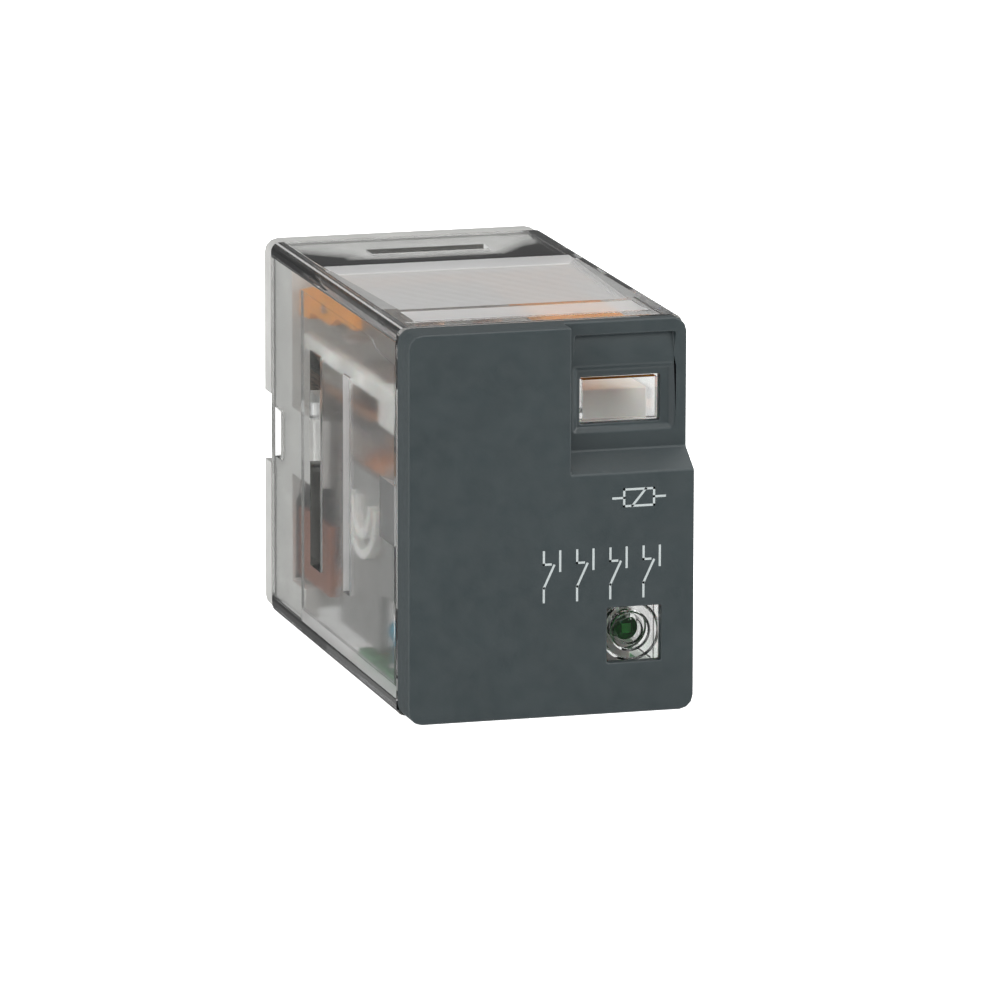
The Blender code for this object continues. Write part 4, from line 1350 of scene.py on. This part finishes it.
@dataclass
class Base:
    """The base moulding, with a shallow pocket round each blade and ejector marks; its faces inside
    the case are painted a brighter grey than the flange, as painted light.
    """

    finishes: Finishes
    pocket: float = 0.35 * MM
    # Depth where the flange ends; faces deeper than this get the brighter painted grey.
    pocket_margin: tuple[float, float] = (0.55 * MM, 0.5 * MM)      # beside and above a blade
    flange: float = 1.9 * MM
    ejectors: tuple[tuple[float, float], ...] = (                   # X, Z
        (-5.0 * MM, -9.6 * MM), (-5.0 * MM, 12.0 * MM), (5.0 * MM, -9.6 * MM),
        (5.0 * MM, 12.0 * MM))
    ejector_radius: float = 0.8 * MM
    ejector_sink: float = 0.12 * MM
    roof_low: Point = (-7.3 * MM, -11.6 * MM, 12.3 * MM)
    roof_high: Point = (7.3 * MM, -5.0 * MM, 12.8 * MM)
    roof_corner: float = 0.5 * MM
    rounding: float = 0.12 * MM

    def build(self) -> None:
        """Make the base."""
        base = copy_node("base_moulding", "base")
        blades = [f"{row}_terminal_{i}" for row in ("nc", "no", "com") for i in range(1, 5)]
        blades += ["coil_terminal_left", "coil_terminal_right"]
        cuts = []
        beside, above = self.pocket_margin
        for node in blades:
            low, high = self.blade(node)
            cuts.append(block("pocket", (low[0] - beside, -self.pocket, low[1] - above),
                              (high[0] + beside, MM, high[1] + above)))
        radius, sink = self.ejector_radius, self.ejector_sink
        profile = [(0, sink), (radius, sink), (radius, -MM / 2), (0, -MM / 2)]
        cuts += [lathe("ejector", profile, (x, 0, z)) for x, z in self.ejectors]
        roof = block("roof", self.roof_low, self.roof_high, self.roof_corner, 2)
        combine(base, [roof], "UNION")
        combine(base, cuts)
        soften(base, self.rounding, 2, 30.0)
        dress(base, self.finishes.grey, self.finishes.grey_painted_brighter)
        # Faces behind the flange, inside the case, get the brighter grey: painted light standing in
        # for light lost through the case.
        for face in base.data.polygons:
            if -face.center.y > self.flange:
                face.material_index = 1
        place(base, Body.FRAME, Slot.GREY, "base")

    def blade(self, node: str) -> tuple[tuple[float, float], tuple[float, float]]:
        """The lowest and highest X and Z of a terminal's blade where it leaves the base.

        Args:
            node: The terminal's node.

        Returns:
            The lowest X and Z, and the highest X and Z.
        """
        points = [v.co for v in bpy.data.objects[node].data.vertices if v.co.y > MM]
        xs = [p.x for p in points]
        zs = [p.z for p in points]
        return (min(xs), min(zs)), (max(xs), max(zs))


# -------------------------------------------------------- metal and contacts


@dataclass
class Metalwork:
    """Pieces whose CAD shape is right: each gets rounded edges and its own finish."""

    finishes: Finishes

    def build(self) -> None:
        """Refine every such node."""
        f = self.finishes
        frame, moving = Body.FRAME, Body.ARMATURE
        self.refine("core", "magnet_core", f.steel, frame, Slot.STEEL, 0.12)
        self.refine("yoke", "magnet_yoke", f.steel, frame, Slot.STEEL, 0.15)
        self.refine("hinge_spring", "hinge_strap", f.bronze, frame, Slot.BRONZE, 0.05)
        self.refine("indicator_pin", "lever_pin", f.steel, frame, Slot.STEEL, 0.06)
        self.refine("armature", "armature_plate", f.steel, moving, Slot.STEEL, 0.15)
        for side in ("left", "right"):
            tab = self.refine(f"coil_terminal_{side}", f"coil_tab_{side}", f.copper, frame,
                              Slot.TIN, 0.07)
            tab.data.materials.append(f.tin)
            for face in tab.data.polygons:
                face.material_index = int(face.center.y > 0)
            self.refine(f"coil_lead_{side}", f"winding_lead_{side}", f.wire, frame, Slot.WIRE, 0)
        for i in range(1, 5):
            for row in ("nc", "no", "com"):
                self.refine(f"{row}_terminal_{i}", f"{row}_blade_{i}", f.tin, frame, Slot.TIN,
                            0.07)
            for row in ("nc", "no"):
                self.refine(f"{row}_contact_{i}", f"{row}_rivet_{i}", f.silver, frame,
                            Slot.SILVER, 0.08)
            self.refine(f"moving_spring_{i}", f"spring_leaf_{i}", f.bronze, moving, Slot.BRONZE,
                        0.04)
            self.refine(f"moving_contact_{i}", f"spring_rivet_{i}", f.silver, moving,
                        Slot.SILVER, 0.08)

    def refine(self, node: str, name: str, material: bpy.types.Material, body: Body, slot: Slot,
               width: float) -> bpy.types.Object:
        """Copy a node, round its edges and give it a finish.

        Args:
            node: The CAD node.
            name: The piece's name.
            material: Its finish.
            body: The body that it rides on.
            slot: The record's material slot.
            width: The rounding of its edges in millimetres, or 0 for a round wire.

        Returns:
            The piece.
        """
        piece = copy_node(name, node)
        if width:
            soften(piece, width * MM, 2, 30.0)
        else:
            piece.data.shade_smooth()
        dress(piece, material)
        return place(piece, body, slot, node)


# -------------------------------------------------------------------- coil


@dataclass
class Coil:
    """Bobbin, winding turns, tape and the ribbed cheeks beside the coil."""

    finishes: Finishes
    wire: float = 0.075 * MM
    turn_steps: int = 40
    sleeve_radius: float = 3.5 * MM
    sleeve_inset: float = 0.05 * MM
    tape_steps: int = 96
    tape_start: float = 250.0                                       # degrees
    tape_skin: float = 0.13 * MM
    tape_layers: Point = (0.04 * MM, 0.06 * MM, 0.05 * MM)          # inwards, outwards, lap
    cheek: tuple[tuple[float, float], ...] = (                      # depth, Z
        (17.0 * MM, 0.9 * MM), (16.0 * MM, -5.6 * MM), (16.0 * MM, -11.7 * MM),
        (27.0 * MM, -11.7 * MM), (27.4 * MM, -7.4 * MM), (32.6 * MM, -6.9 * MM),
        (32.6 * MM, 0.9 * MM))
    cheek_gap: float = 0.9 * MM
    cheek_face: float = 1.6 * MM
    bridge: tuple[tuple[float, float], ...] = (                     # depth, Z
        (30.6 * MM, -6.0 * MM), (32.0 * MM, -6.0 * MM), (32.0 * MM, 0.2 * MM),
        (30.6 * MM, 0.2 * MM))
    lap: float = 0.2 * MM
    rib_middle: tuple[float, float] = (24.4 * MM, -1.0 * MM)        # depth, Z
    rib_radii: tuple[float, float] = (4.2 * MM, 2.7 * MM)
    rib_width: float = 0.7 * MM
    rib_face: float = 2.4 * MM
    rib_steps: int = 16
    rounding: float = 0.12 * MM

    def build(self) -> None:
        """Make the coil's pieces."""
        bobbin = copy_node("bobbin_moulding", "bobbin")
        low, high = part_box("bobbin")
        self.centre = (low + high) / 2
        combine(bobbin, self.cheeks(low, high), "UNION")
        soften(bobbin, self.rounding, 2, 30.0)
        dress(bobbin, self.finishes.white, self.finishes.dark_grey)
        plate = (high.x + self.cheek_gap - 2 * OVER, high.x + self.cheek_face + OVER)
        for face in bobbin.data.polygons:
            face.material_index = int(plate[0] < abs(face.center.x) < plate[1])
        place(bobbin, Body.FRAME, Slot.WHITE, "bobbin")
        place(self.turns(), Body.FRAME, Slot.WIRE, "coil_winding")
        place(self.tape(), Body.FRAME, Slot.TAPE, "coil_tape")

    def cheeks(self, low: Vector, high: Vector) -> list[bpy.types.Object]:
        """Side plates on both sides of the coil, each with two U-shaped ribs.

        Args:
            low: The bobbin's lowest corner.
            high: The bobbin's highest corner.

        Returns:
            The plates, their ribs and the bridges that hold them.
        """
        parts = []
        depth, level = self.rib_middle
        for side in (-1, 1):
            inner, outer = side * (high.x + self.cheek_gap), side * (high.x + self.cheek_face)
            bridge = sorted((side * (high.x - self.lap), inner + side * self.lap))
            parts.append(slab("bridge", [(-y, z) for y, z in self.bridge], 0, *bridge))
            face = [(-y, z) for y, z in self.cheek]
            parts.append(slab("cheek", face, 0, *sorted((inner, outer))))
            height = sorted((outer - side * self.lap / 2, side * (high.x + self.rib_face)))
            for radius in self.rib_radii:
                outside, inside = [], []
                for step in range(self.rib_steps + 1):
                    angle = math.pi + math.pi * step / self.rib_steps
                    for ring, reach in ((outside, radius), (inside, radius - self.rib_width)):
                        ring.append((-depth + reach * math.cos(angle),
                                     level + reach * math.sin(angle)))
                parts.append(slab("cheek_rib", outside + inside[::-1], 0, *height))
        return parts

    def turns(self) -> bpy.types.Object:
        """The visible layer of the winding, over a plain sleeve for the layers below.

        Returns:
            The winding.
        """
        low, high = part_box("coil_winding")
        radius = (high.x - low.x) / 2
        length = high.y - low.y
        count = int(length / (2 * self.wire))
        steps = self.turn_steps
        tree = GeometryTree("winding_turns", Points=count * steps, Radius=radius - self.wire,
                            Pitch=length / count, Wire=self.wire)
        line = tree.node("GeometryNodeMeshLine", {"mode": "OFFSET"}, Count=tree.given("Points"),
                         Offset=(0.0, 0.0, 0.0))
        index = tree.node("GeometryNodeInputIndex").outputs[0]
        turn = tree.math("DIVIDE", index, float(steps))
        angle = tree.math("MULTIPLY", turn, 2 * math.pi)
        across = tree.math("MULTIPLY", tree.math("COSINE", angle), tree.given("Radius"))
        up = tree.math("MULTIPLY", tree.math("SINE", angle), tree.given("Radius"))
        along = tree.math("MULTIPLY", turn, tree.given("Pitch"))
        spot = tree.vector(tree.math("ADD", across, self.centre.x),
                           tree.math("ADD", along, low.y + self.wire / 2),
                           tree.math("ADD", up, self.centre.z))
        moved = tree.node("GeometryNodeSetPosition", Geometry=line.outputs[0], Position=spot)
        curve = tree.node("GeometryNodeMeshToCurve", Mesh=moved.outputs[0])
        ring = tree.node("GeometryNodeCurvePrimitiveCircle", Resolution=6,
                         Radius=tree.given("Wire"))
        wire = tree.node("GeometryNodeCurveToMesh", Curve=curve.outputs[0],
                         Profile_Curve=ring.outputs[0], Fill_Caps=True)
        turns = tree.run("winding_turns", wire.outputs[0], self.finishes.wire)
        front, back = -low.y - self.sleeve_inset, -high.y + self.sleeve_inset
        skin, bore = radius - self.wire, self.sleeve_radius
        profile = [(bore, front), (skin, front), (skin, back), (bore, back), (bore, front)]
        sleeve = lathe("sleeve", profile, (self.centre.x, 0, self.centre.z), "Y", 64)
        join(turns, [sleeve])
        turns.data.shade_smooth()
        return dress(turns, self.finishes.wire)

    def tape(self) -> bpy.types.Object:
        """The tape: a thin sleeve whose outer turn ends in a lap.

        Returns:
            The tape.
        """
        low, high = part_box("coil_tape")
        radius = (high.x - low.x) / 2
        inwards, outwards, lap = self.tape_layers
        inner = radius - self.tape_skin
        steps = self.tape_steps
        shape = bmesh.new()
        rings = []
        for i in range(steps + 1):
            angle = 2 * math.pi * i / steps + math.radians(self.tape_start)
            under, over = inner - inwards, inner + outwards + lap * i / steps
            column = []
            for r, y in ((under, low.y), (over, low.y), (over, high.y), (under, high.y)):
                column.append(shape.verts.new((self.centre.x + r * math.cos(angle), y,
                                               self.centre.z + r * math.sin(angle))))
            rings.append(column)
        for a, b in zip(rings, rings[1:]):
            for k in range(4):
                m = (k + 1) % 4
                shape.faces.new((a[k], a[m], b[m], b[k]))
        shape.faces.new(rings[0])
        shape.faces.new(rings[-1])
        bmesh.ops.recalc_face_normals(shape, faces=shape.faces)
        tape = from_shape("winding_tape", shape)
        tape.data.shade_smooth()
        tape.data.set_sharp_from_angle(angle=math.radians(30))
        return dress(tape, self.finishes.tape)


# ------------------------------------------------------- carrier and levers


@dataclass
class Mechanism:
    """Contact carrier, braids and the orange indicator lever."""

    finishes: Finishes
    strands: int = 7
    strand: float = 0.13 * MM
    lay: float = 0.26 * MM
    twist: float = 26.0                                             # radians over the length
    braid_steps: int = 32
    knee: float = (14.4 + 0.95 + 2.5) * MM                          # end of the straight run
    skirt_ends: tuple[float, float] = (12.5 * MM, 22.0 * MM)        # depths
    skirt_edges: tuple[float, float] = (10.95 * MM, 12.6 * MM)      # Z
    skirt_thick: float = 0.7 * MM
    skirt_corner: float = 0.3 * MM

    def build(self) -> None:
        """Make the moving mouldings and the braids."""
        carrier = copy_node("carrier_moulding", "contact_carrier")
        soften(carrier, 0.12 * MM, 2, 30.0)
        dress(carrier, self.finishes.white)
        place(carrier, Body.ARMATURE, Slot.WHITE, "contact_carrier")
        lever = copy_node("lever_moulding", "indicator_lever")
        low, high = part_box("indicator_lever")
        (rear, front), (under, over) = self.skirt_ends, self.skirt_edges
        thick = self.skirt_thick
        skirts = [block("skirt", (x, -front, under), (x + thick, -rear, over),
                        self.skirt_corner, 0) for x in (low.x, high.x - thick)]
        combine(lever, skirts, "UNION")
        soften(lever, 0.1 * MM, 2, 30.0)
        dress(lever, self.finishes.orange)
        place(lever, Body.INDICATOR, Slot.ORANGE, "indicator_lever")
        for i in range(1, 5):
            self.braid(i)

    def braid(self, index: int) -> None:
        """One twisted lead that bends between the frame and the carrier.

        Args:
            index: The number of its contact.
        """
        low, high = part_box(f"braid_{index}")
        x = (low.x + high.x) / 2
        radius = (high.x - low.x) / 2
        back, front = high.y, low.y
        knee = -self.knee
        bottom, top = low.z + radius, high.z - radius
        path = []
        for step in range(self.braid_steps + 1):
            y = back + (front - back) * step / self.braid_steps
            t = min(1.0, max(0.0, (y - knee) / (front - knee)))
            path.append((x, y, bottom + (top - bottom) * t * t * (3 - 2 * t)))
        tree = GeometryTree(f"braid_strands_{index}", Strands=self.strands, Strand=self.strand,
                            Lay=self.lay, Twist=self.twist)
        curve = tree.node("GeometryNodeMeshToCurve", Mesh=tree.given("Geometry"))
        fine = tree.node("GeometryNodeResampleCurve", Curve=curve.outputs[0], Count=140)
        copies = tree.node("GeometryNodeDuplicateElements", {"domain": "SPLINE"},
                           Geometry=fine.outputs[0], Amount=tree.given("Strands"))
        share = tree.math("DIVIDE", copies.outputs["Duplicate Index"], tree.given("Strands"))
        along = tree.node("GeometryNodeSplineParameter").outputs["Factor"]
        angle = tree.math("ADD", tree.math("MULTIPLY", share, 2 * math.pi),
                          tree.math("MULTIPLY", along, tree.given("Twist")))
        reach = tree.given("Lay")
        offset = tree.vector(tree.math("MULTIPLY", tree.math("COSINE", angle), reach), 0.0,
                             tree.math("MULTIPLY", tree.math("SINE", angle), reach))
        moved = tree.node("GeometryNodeSetPosition", Geometry=copies.outputs[0], Offset=offset)
        ring = tree.node("GeometryNodeCurvePrimitiveCircle", Resolution=8,
                         Radius=tree.given("Strand"))
        mesh = tree.node("GeometryNodeCurveToMesh", Curve=moved.outputs[0],
                         Profile_Curve=ring.outputs[0], Fill_Caps=True)
        braid = tree.run(f"lead_braid_{index}", mesh.outputs[0], self.finishes.braid, path, True)
        braid.data.shade_smooth()
        dress(braid, self.finishes.braid)
        place(braid, Body.FRAME, Slot.BRAID, f"braid_{index}")
        braid.parent = None
        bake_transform(braid)


# ------------------------------------------------------------------- light


@dataclass
class LightBoard:
    """The indicator light: board with pads, holder, LED, resistor and diode."""

    finishes: Finishes
    lens_back: float = 38.2 * MM
    led_gap: float = 0.1 * MM
    led_collar: tuple[float, float] = (0.2 * MM, 0.4 * MM)          # beyond the dome, thickness
    led_crown: tuple[tuple[float, float], ...] = (                  # share of radius, drop
        (0.0, 0.0), (0.5, 0.01 * MM), (0.85, 0.05 * MM), (0.96, 0.12 * MM), (1.0, 0.25 * MM))
    chip_half: float = 0.34 * MM
    chip_ends: tuple[float, float] = (0.03 * MM, 0.2 * MM)          # ahead of the tip, behind it
    wire: float = 0.22 * MM
    straight: float = 1.1 * MM
    lead_arc: float = 0.55 * MM
    arc_steps: int = 6
    bulge: float = 0.45 * MM
    waist: float = 0.9                                              # share of the radius
    band_half: float = 0.18 * MM
    band_skin: tuple[float, float] = (0.1 * MM, 0.02 * MM)          # under the waist, above it
    holder_pin: tuple[float, float] = (0.5 * MM, 0.7 * MM)          # inwards, behind the holder
    pad: Point = (0.62 * MM, 0.2 * MM, 0.35 * MM)                   # foot, top, height

    def build(self) -> None:
        """Make the light's pieces."""
        f = self.finishes
        board = copy_node("board", "led_board")
        soften(board, 0.06 * MM, 1, 30.0)
        place(dress(board, f.board), Body.FRAME, Slot.BOARD, "led_board")
        holder = copy_node("led_stand", "led_holder")
        soften(holder, 0.12 * MM, 2, 30.0)
        place(dress(holder, f.white), Body.FRAME, Slot.WHITE, "led_holder")
        self.led()
        self.component("series_resistor", "resistor", f.blue, f.bands, Slot.BLUE)
        self.component("diode", "flyback_diode", f.black, [f.silver_band], Slot.BLACK)
        self.joints()

    def led(self) -> None:
        """The LED: a clear green dome with a chip on a cup inside it."""
        low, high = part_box("led")
        centre = (low + high) / 2
        ledge, thick = self.led_collar
        radius = (high.x - low.x) / 2 - ledge
        tip = self.lens_back - self.led_gap
        profile = [(share * radius, tip - drop) for share, drop in self.led_crown]
        profile += [(radius, -high.y + thick), (radius + ledge, -high.y + thick),
                    (radius + ledge, -high.y), (0.0, -high.y)]
        dome = lathe("led_dome", profile, (centre.x, 0, centre.z))
        dome.data.shade_smooth()
        dome.data.set_sharp_from_angle(angle=math.radians(40))
        place(dress(dome, self.finishes.lens), Body.FRAME, Slot.LENS, "led")
        half = self.chip_half
        ahead, behind = self.chip_ends
        chip = block("led_chip", (centre.x - half, -tip - ahead, centre.z - half),
                     (centre.x + half, -tip + behind, centre.z + half))
        soften(chip, 0.03 * MM, 2)
        place(dress(chip, self.finishes.chip), Body.FRAME, Slot.LENS)

    def component(self, node: str, name: str, body: bpy.types.Material,
                  bands: list[bpy.types.Material], slot: Slot) -> None:
        """An axial component with a rounded body, colour bands and bent leads.

        Args:
            node: The CAD node.
            name: The piece's name.
            body: The body's finish.
            bands: The finish of each band.
            slot: The record's material slot.
        """
        low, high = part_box(node)
        radius = (high.x - low.x) / 2
        x = (low.x + high.x) / 2
        z = high.z - radius
        wire, bulge = self.wire, self.bulge
        start, end = -high.y + wire + self.straight, -low.y - wire - self.straight
        waist = radius * self.waist
        profile = [(0.0, end), (0.5 * radius, end), (0.85 * radius, end - 0.12 * MM),
                   (radius, end - bulge), (radius, end - 2 * bulge), (waist, end - 2.6 * bulge),
                   (waist, start + 2.6 * bulge), (radius, start + 2 * bulge),
                   (radius, start + bulge), (0.85 * radius, start + 0.12 * MM),
                   (0.5 * radius, start), (0.0, start)]
        piece = lathe(name, profile, (x, 0, z))
        count = len(bands)
        for i in range(count):
            at = start + (end - start) * (i + 1) / (count + 1)
            under, over = waist - self.band_skin[0], waist + self.band_skin[1]
            front, back = at + self.band_half, at - self.band_half
            ring = [(under, front), (over, front), (over, back), (under, back), (under, front)]
            band = lathe(f"{name}_band_{i}", ring, (x, 0, z))
            for face in band.data.polygons:
                face.material_index = 1 + i
            join(piece, [band])
        seat = low.z
        back, front = -high.y + wire, -low.y - wire
        arc = self.lead_arc
        path = [(x, -back, seat)]
        bend = [math.pi / 2 * step / self.arc_steps for step in range(self.arc_steps + 1)]
        for angle in bend:
            path.append((x, -(back + arc * (1 - math.cos(angle))), z - arc + arc * math.sin(angle)))
        for angle in bend[::-1]:
            path.append((x, -(front - arc * (1 - math.cos(angle))), z - arc + arc * math.sin(angle)))
        path.append((x, -front, seat))
        leads = tube(f"{name}_leads", path, wire)
        for face in leads.data.polygons:
            face.material_index = 1 + count
        join(piece, [leads])
        piece.data.shade_smooth()
        piece.data.set_sharp_from_angle(angle=math.radians(40))
        dress(piece, body, *bands, self.finishes.solder)
        place(piece, Body.FRAME, slot, node)

    def joints(self) -> None:
        """Solder fillets round every lead on the board."""
        spots = []
        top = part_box("led_board")[1].z
        for node in ("series_resistor", "diode"):
            low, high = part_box(node)
            x = (low.x + high.x) / 2
            for y in (low.y + self.wire, high.y - self.wire):
                spots.append((x, y, top))
        low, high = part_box("led_holder")
        inwards, behind = self.holder_pin
        for x in (low.x + inwards, high.x - inwards):
            spots.append((x, high.y + behind, top))
        foot, tip, height = self.pad
        tree = GeometryTree("solder_joints", Pad=foot, Height=height)
        cone = tree.node("GeometryNodeMeshCone", Vertices=20, Radius_Top=tip,
                         Radius_Bottom=tree.given("Pad"), Depth=tree.given("Height"))
        grid = tree.node("GeometryNodeInstanceOnPoints", Points=tree.given("Geometry"),
                         Instance=cone.outputs["Mesh"])
        joints = tree.run("solder_joints", grid.outputs[0], self.finishes.solder, spots)
        joints.data.shade_smooth()
        joints.data.set_sharp_from_angle(angle=math.radians(50))
        place(dress(joints, self.finishes.solder), Body.FRAME, Slot.TIN)


# ------------------------------------------------------------------ studio


@dataclass
class Studio:
    """Pale floor, soft light and the camera."""

    eye: Point = (-0.1772, -0.6464, 0.1341)
    target: Point = (0.000966, -0.0233, -0.00127)
    roll: float = 0.12
    lens: float = 329.4
    shift: tuple[float, float] = (0.0008, -0.0064)
    strength: float = 1.1
    back_level: float = 0.16
    front_level: float = 0.06
    floor_glow: float = 1.0
    floor_half: float = 3.0
    floor_gap: float = 0.02 * MM
    backdrop: tuple[float, float] = (2.9, 8.0)                      # radius, height
    behind: tuple[float, float] = (0.60, 0.90)                      # Y of a direction
    beside: tuple[float, float] = (0.02, 0.18)                      # X
    level: tuple[float, float] = (-0.12, 0.05)                      # Z
    before: tuple[float, float] = (-0.96, -0.72)                    # Y
    lamps: tuple[tuple[str, Point, float, float], ...] = (          # name, place, side, watts
        ("left", (-0.52, -0.22, 0.25), 0.45, 1.1), ("above", (0.05, -0.1, 0.7), 0.5, 1.3),
        ("right", (0.45, -0.45, 0.33), 0.35, 2.0))
    lit_point: Point = (0.0, -0.02, 0.0)

    def build(self) -> None:
        """Make the stage."""
        self.camera()
        self.floor()
        self.surround()
        for lamp in self.lamps:
            self.area(*lamp)

    def camera(self) -> None:
        """The camera, a long lens a little left of the front and above."""
        data = bpy.data.cameras.new("camera")
        data.sensor_width = 36.0
        data.lens = self.lens
        data.shift_x, data.shift_y = self.shift
        data.clip_start = 0.05
        camera = bpy.data.objects.new("camera", data)
        bpy.context.scene.collection.objects.link(camera)
        aim = (Vector(self.target) - Vector(self.eye)).to_track_quat("-Z", "Y")
        turn = Matrix.Rotation(math.radians(self.roll), 4, "Z")
        camera.matrix_world = Matrix.Translation(self.eye) @ aim.to_matrix().to_4x4() @ turn
        bpy.context.scene.camera = camera

    def floor(self) -> None:
        """A wide pale floor that glows evenly, and a round backdrop of the same paper."""
        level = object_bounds()[0][2] - self.floor_gap
        shape = bmesh.new()
        bmesh.ops.create_grid(shape, x_segments=1, y_segments=1, size=self.floor_half)
        bmesh.ops.translate(shape, vec=(0, 0, level), verts=shape.verts)
        floor = from_shape("floor", shape)
        wall = bmesh.new()
        radius, height = self.backdrop
        bmesh.ops.create_cone(wall, cap_ends=False, segments=64, radius1=radius, radius2=radius,
                              depth=height)
        backdrop = from_shape("backdrop", wall)
        graph = Graph("floor_paper")
        cloud = graph.span(graph.noise(0.2, 2.0), (0.3, 0.7), (0.0, 1.0))
        graph.link(graph.mix(cloud, (0.90, 0.90, 0.90), (0.92, 0.92, 0.92)), "Base Color")
        graph.set("Roughness", 0.9)
        graph.set("Specular IOR Level", 0.0)
        graph.set("Emission Color", (1.0, 1.0, 1.0))
        graph.set("Emission Strength", self.floor_glow)
        for sheet in (floor, backdrop):
            sheet.visible_glossy = False
            sheet.visible_transmission = False
        backdrop.visible_diffuse = False
        backdrop.visible_shadow = False
        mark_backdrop(dress(floor, graph.material), dress(backdrop, graph.material))

    def surround(self) -> None:
        """A soft white surround with a grey part behind the relay and a dark one before it."""
        world = bpy.data.worlds.new("surround")
        world.use_nodes = True
        tree = world.node_tree
        way = tree.nodes.new("ShaderNodeSeparateXYZ")
        place = tree.nodes.new("ShaderNodeTexCoord")
        tree.links.new(place.outputs["Generated"], way.inputs[0])

        def ramp(axis: str, source: tuple[float, float], target: tuple[float, float],
                 ) -> bpy.types.NodeSocket:
            """Brightness that changes smoothly between two values on an axis of the direction.

            Args:
                axis: The axis, X, Y or Z.
                source: The two values of the direction on it.
                target: The brightness at each.

            Returns:
                The brightness.
            """
            node = tree.nodes.new("ShaderNodeMapRange")
            node.interpolation_type = "SMOOTHSTEP"
            names = ("From Min", "From Max", "To Min", "To Max")
            for name, number in zip(names, (*source, *target)):
                node.inputs[name].default_value = number
            tree.links.new(way.outputs[axis], node.inputs["Value"])
            return node.outputs["Result"]

        def product(first: bpy.types.NodeSocket, second: bpy.types.NodeSocket,
                    operation: str = "MULTIPLY") -> bpy.types.NodeSocket:
            """Two brightnesses put together.

            Args:
                first: A brightness.
                second: Another brightness.
                operation: The kind of arithmetic.

            Returns:
                The result.
            """
            node = tree.nodes.new("ShaderNodeMath")
            node.operation = operation
            tree.links.new(first, node.inputs[0])
            tree.links.new(second, node.inputs[1])
            return node.outputs[0]

        behind = ramp("Y", self.behind, (1.0, self.back_level))
        open_side = product(ramp("X", self.beside, (0.0, 1.0)), ramp("Z", self.level, (1.0, 0.0)))
        facing = ramp("Y", self.before, (self.front_level, 1.0))
        level = product(product(behind, open_side, "MAXIMUM"), facing)
        back = tree.nodes["Background"]
        tree.links.new(level, back.inputs["Color"])
        back.inputs["Strength"].default_value = self.strength
        bpy.context.scene.world = world

    def area(self, name: str, spot: Point, size: float, power: float) -> None:
        """A square soft light that faces the relay.

        Args:
            name: The light's name.
            spot: Where it is.
            size: Its side.
            power: Its power in watts.
        """
        data = bpy.data.lights.new(name, "AREA")
        data.size = size
        data.energy = power
        light = bpy.data.objects.new(name, data)
        bpy.context.scene.collection.objects.link(light)
        aim = (Vector(self.lit_point) - Vector(spot)).to_track_quat("-Z", "Y")
        light.matrix_world = Matrix.Translation(spot) @ aim.to_matrix().to_4x4()


def main() -> None:
    """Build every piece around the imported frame."""
    logging.basicConfig(level=logging.INFO, format="%(message)s")
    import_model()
    bpy.context.scene.view_settings.view_transform = "Standard"
    finishes = Finishes()
    for part in (ClearCase(finishes), FrontCap(finishes), Base(finishes), Metalwork(finishes),
                 Coil(finishes), Mechanism(finishes), LightBoard(finishes)):
        part.build()
    Studio().build()


if __name__ == "__main__":
    main()
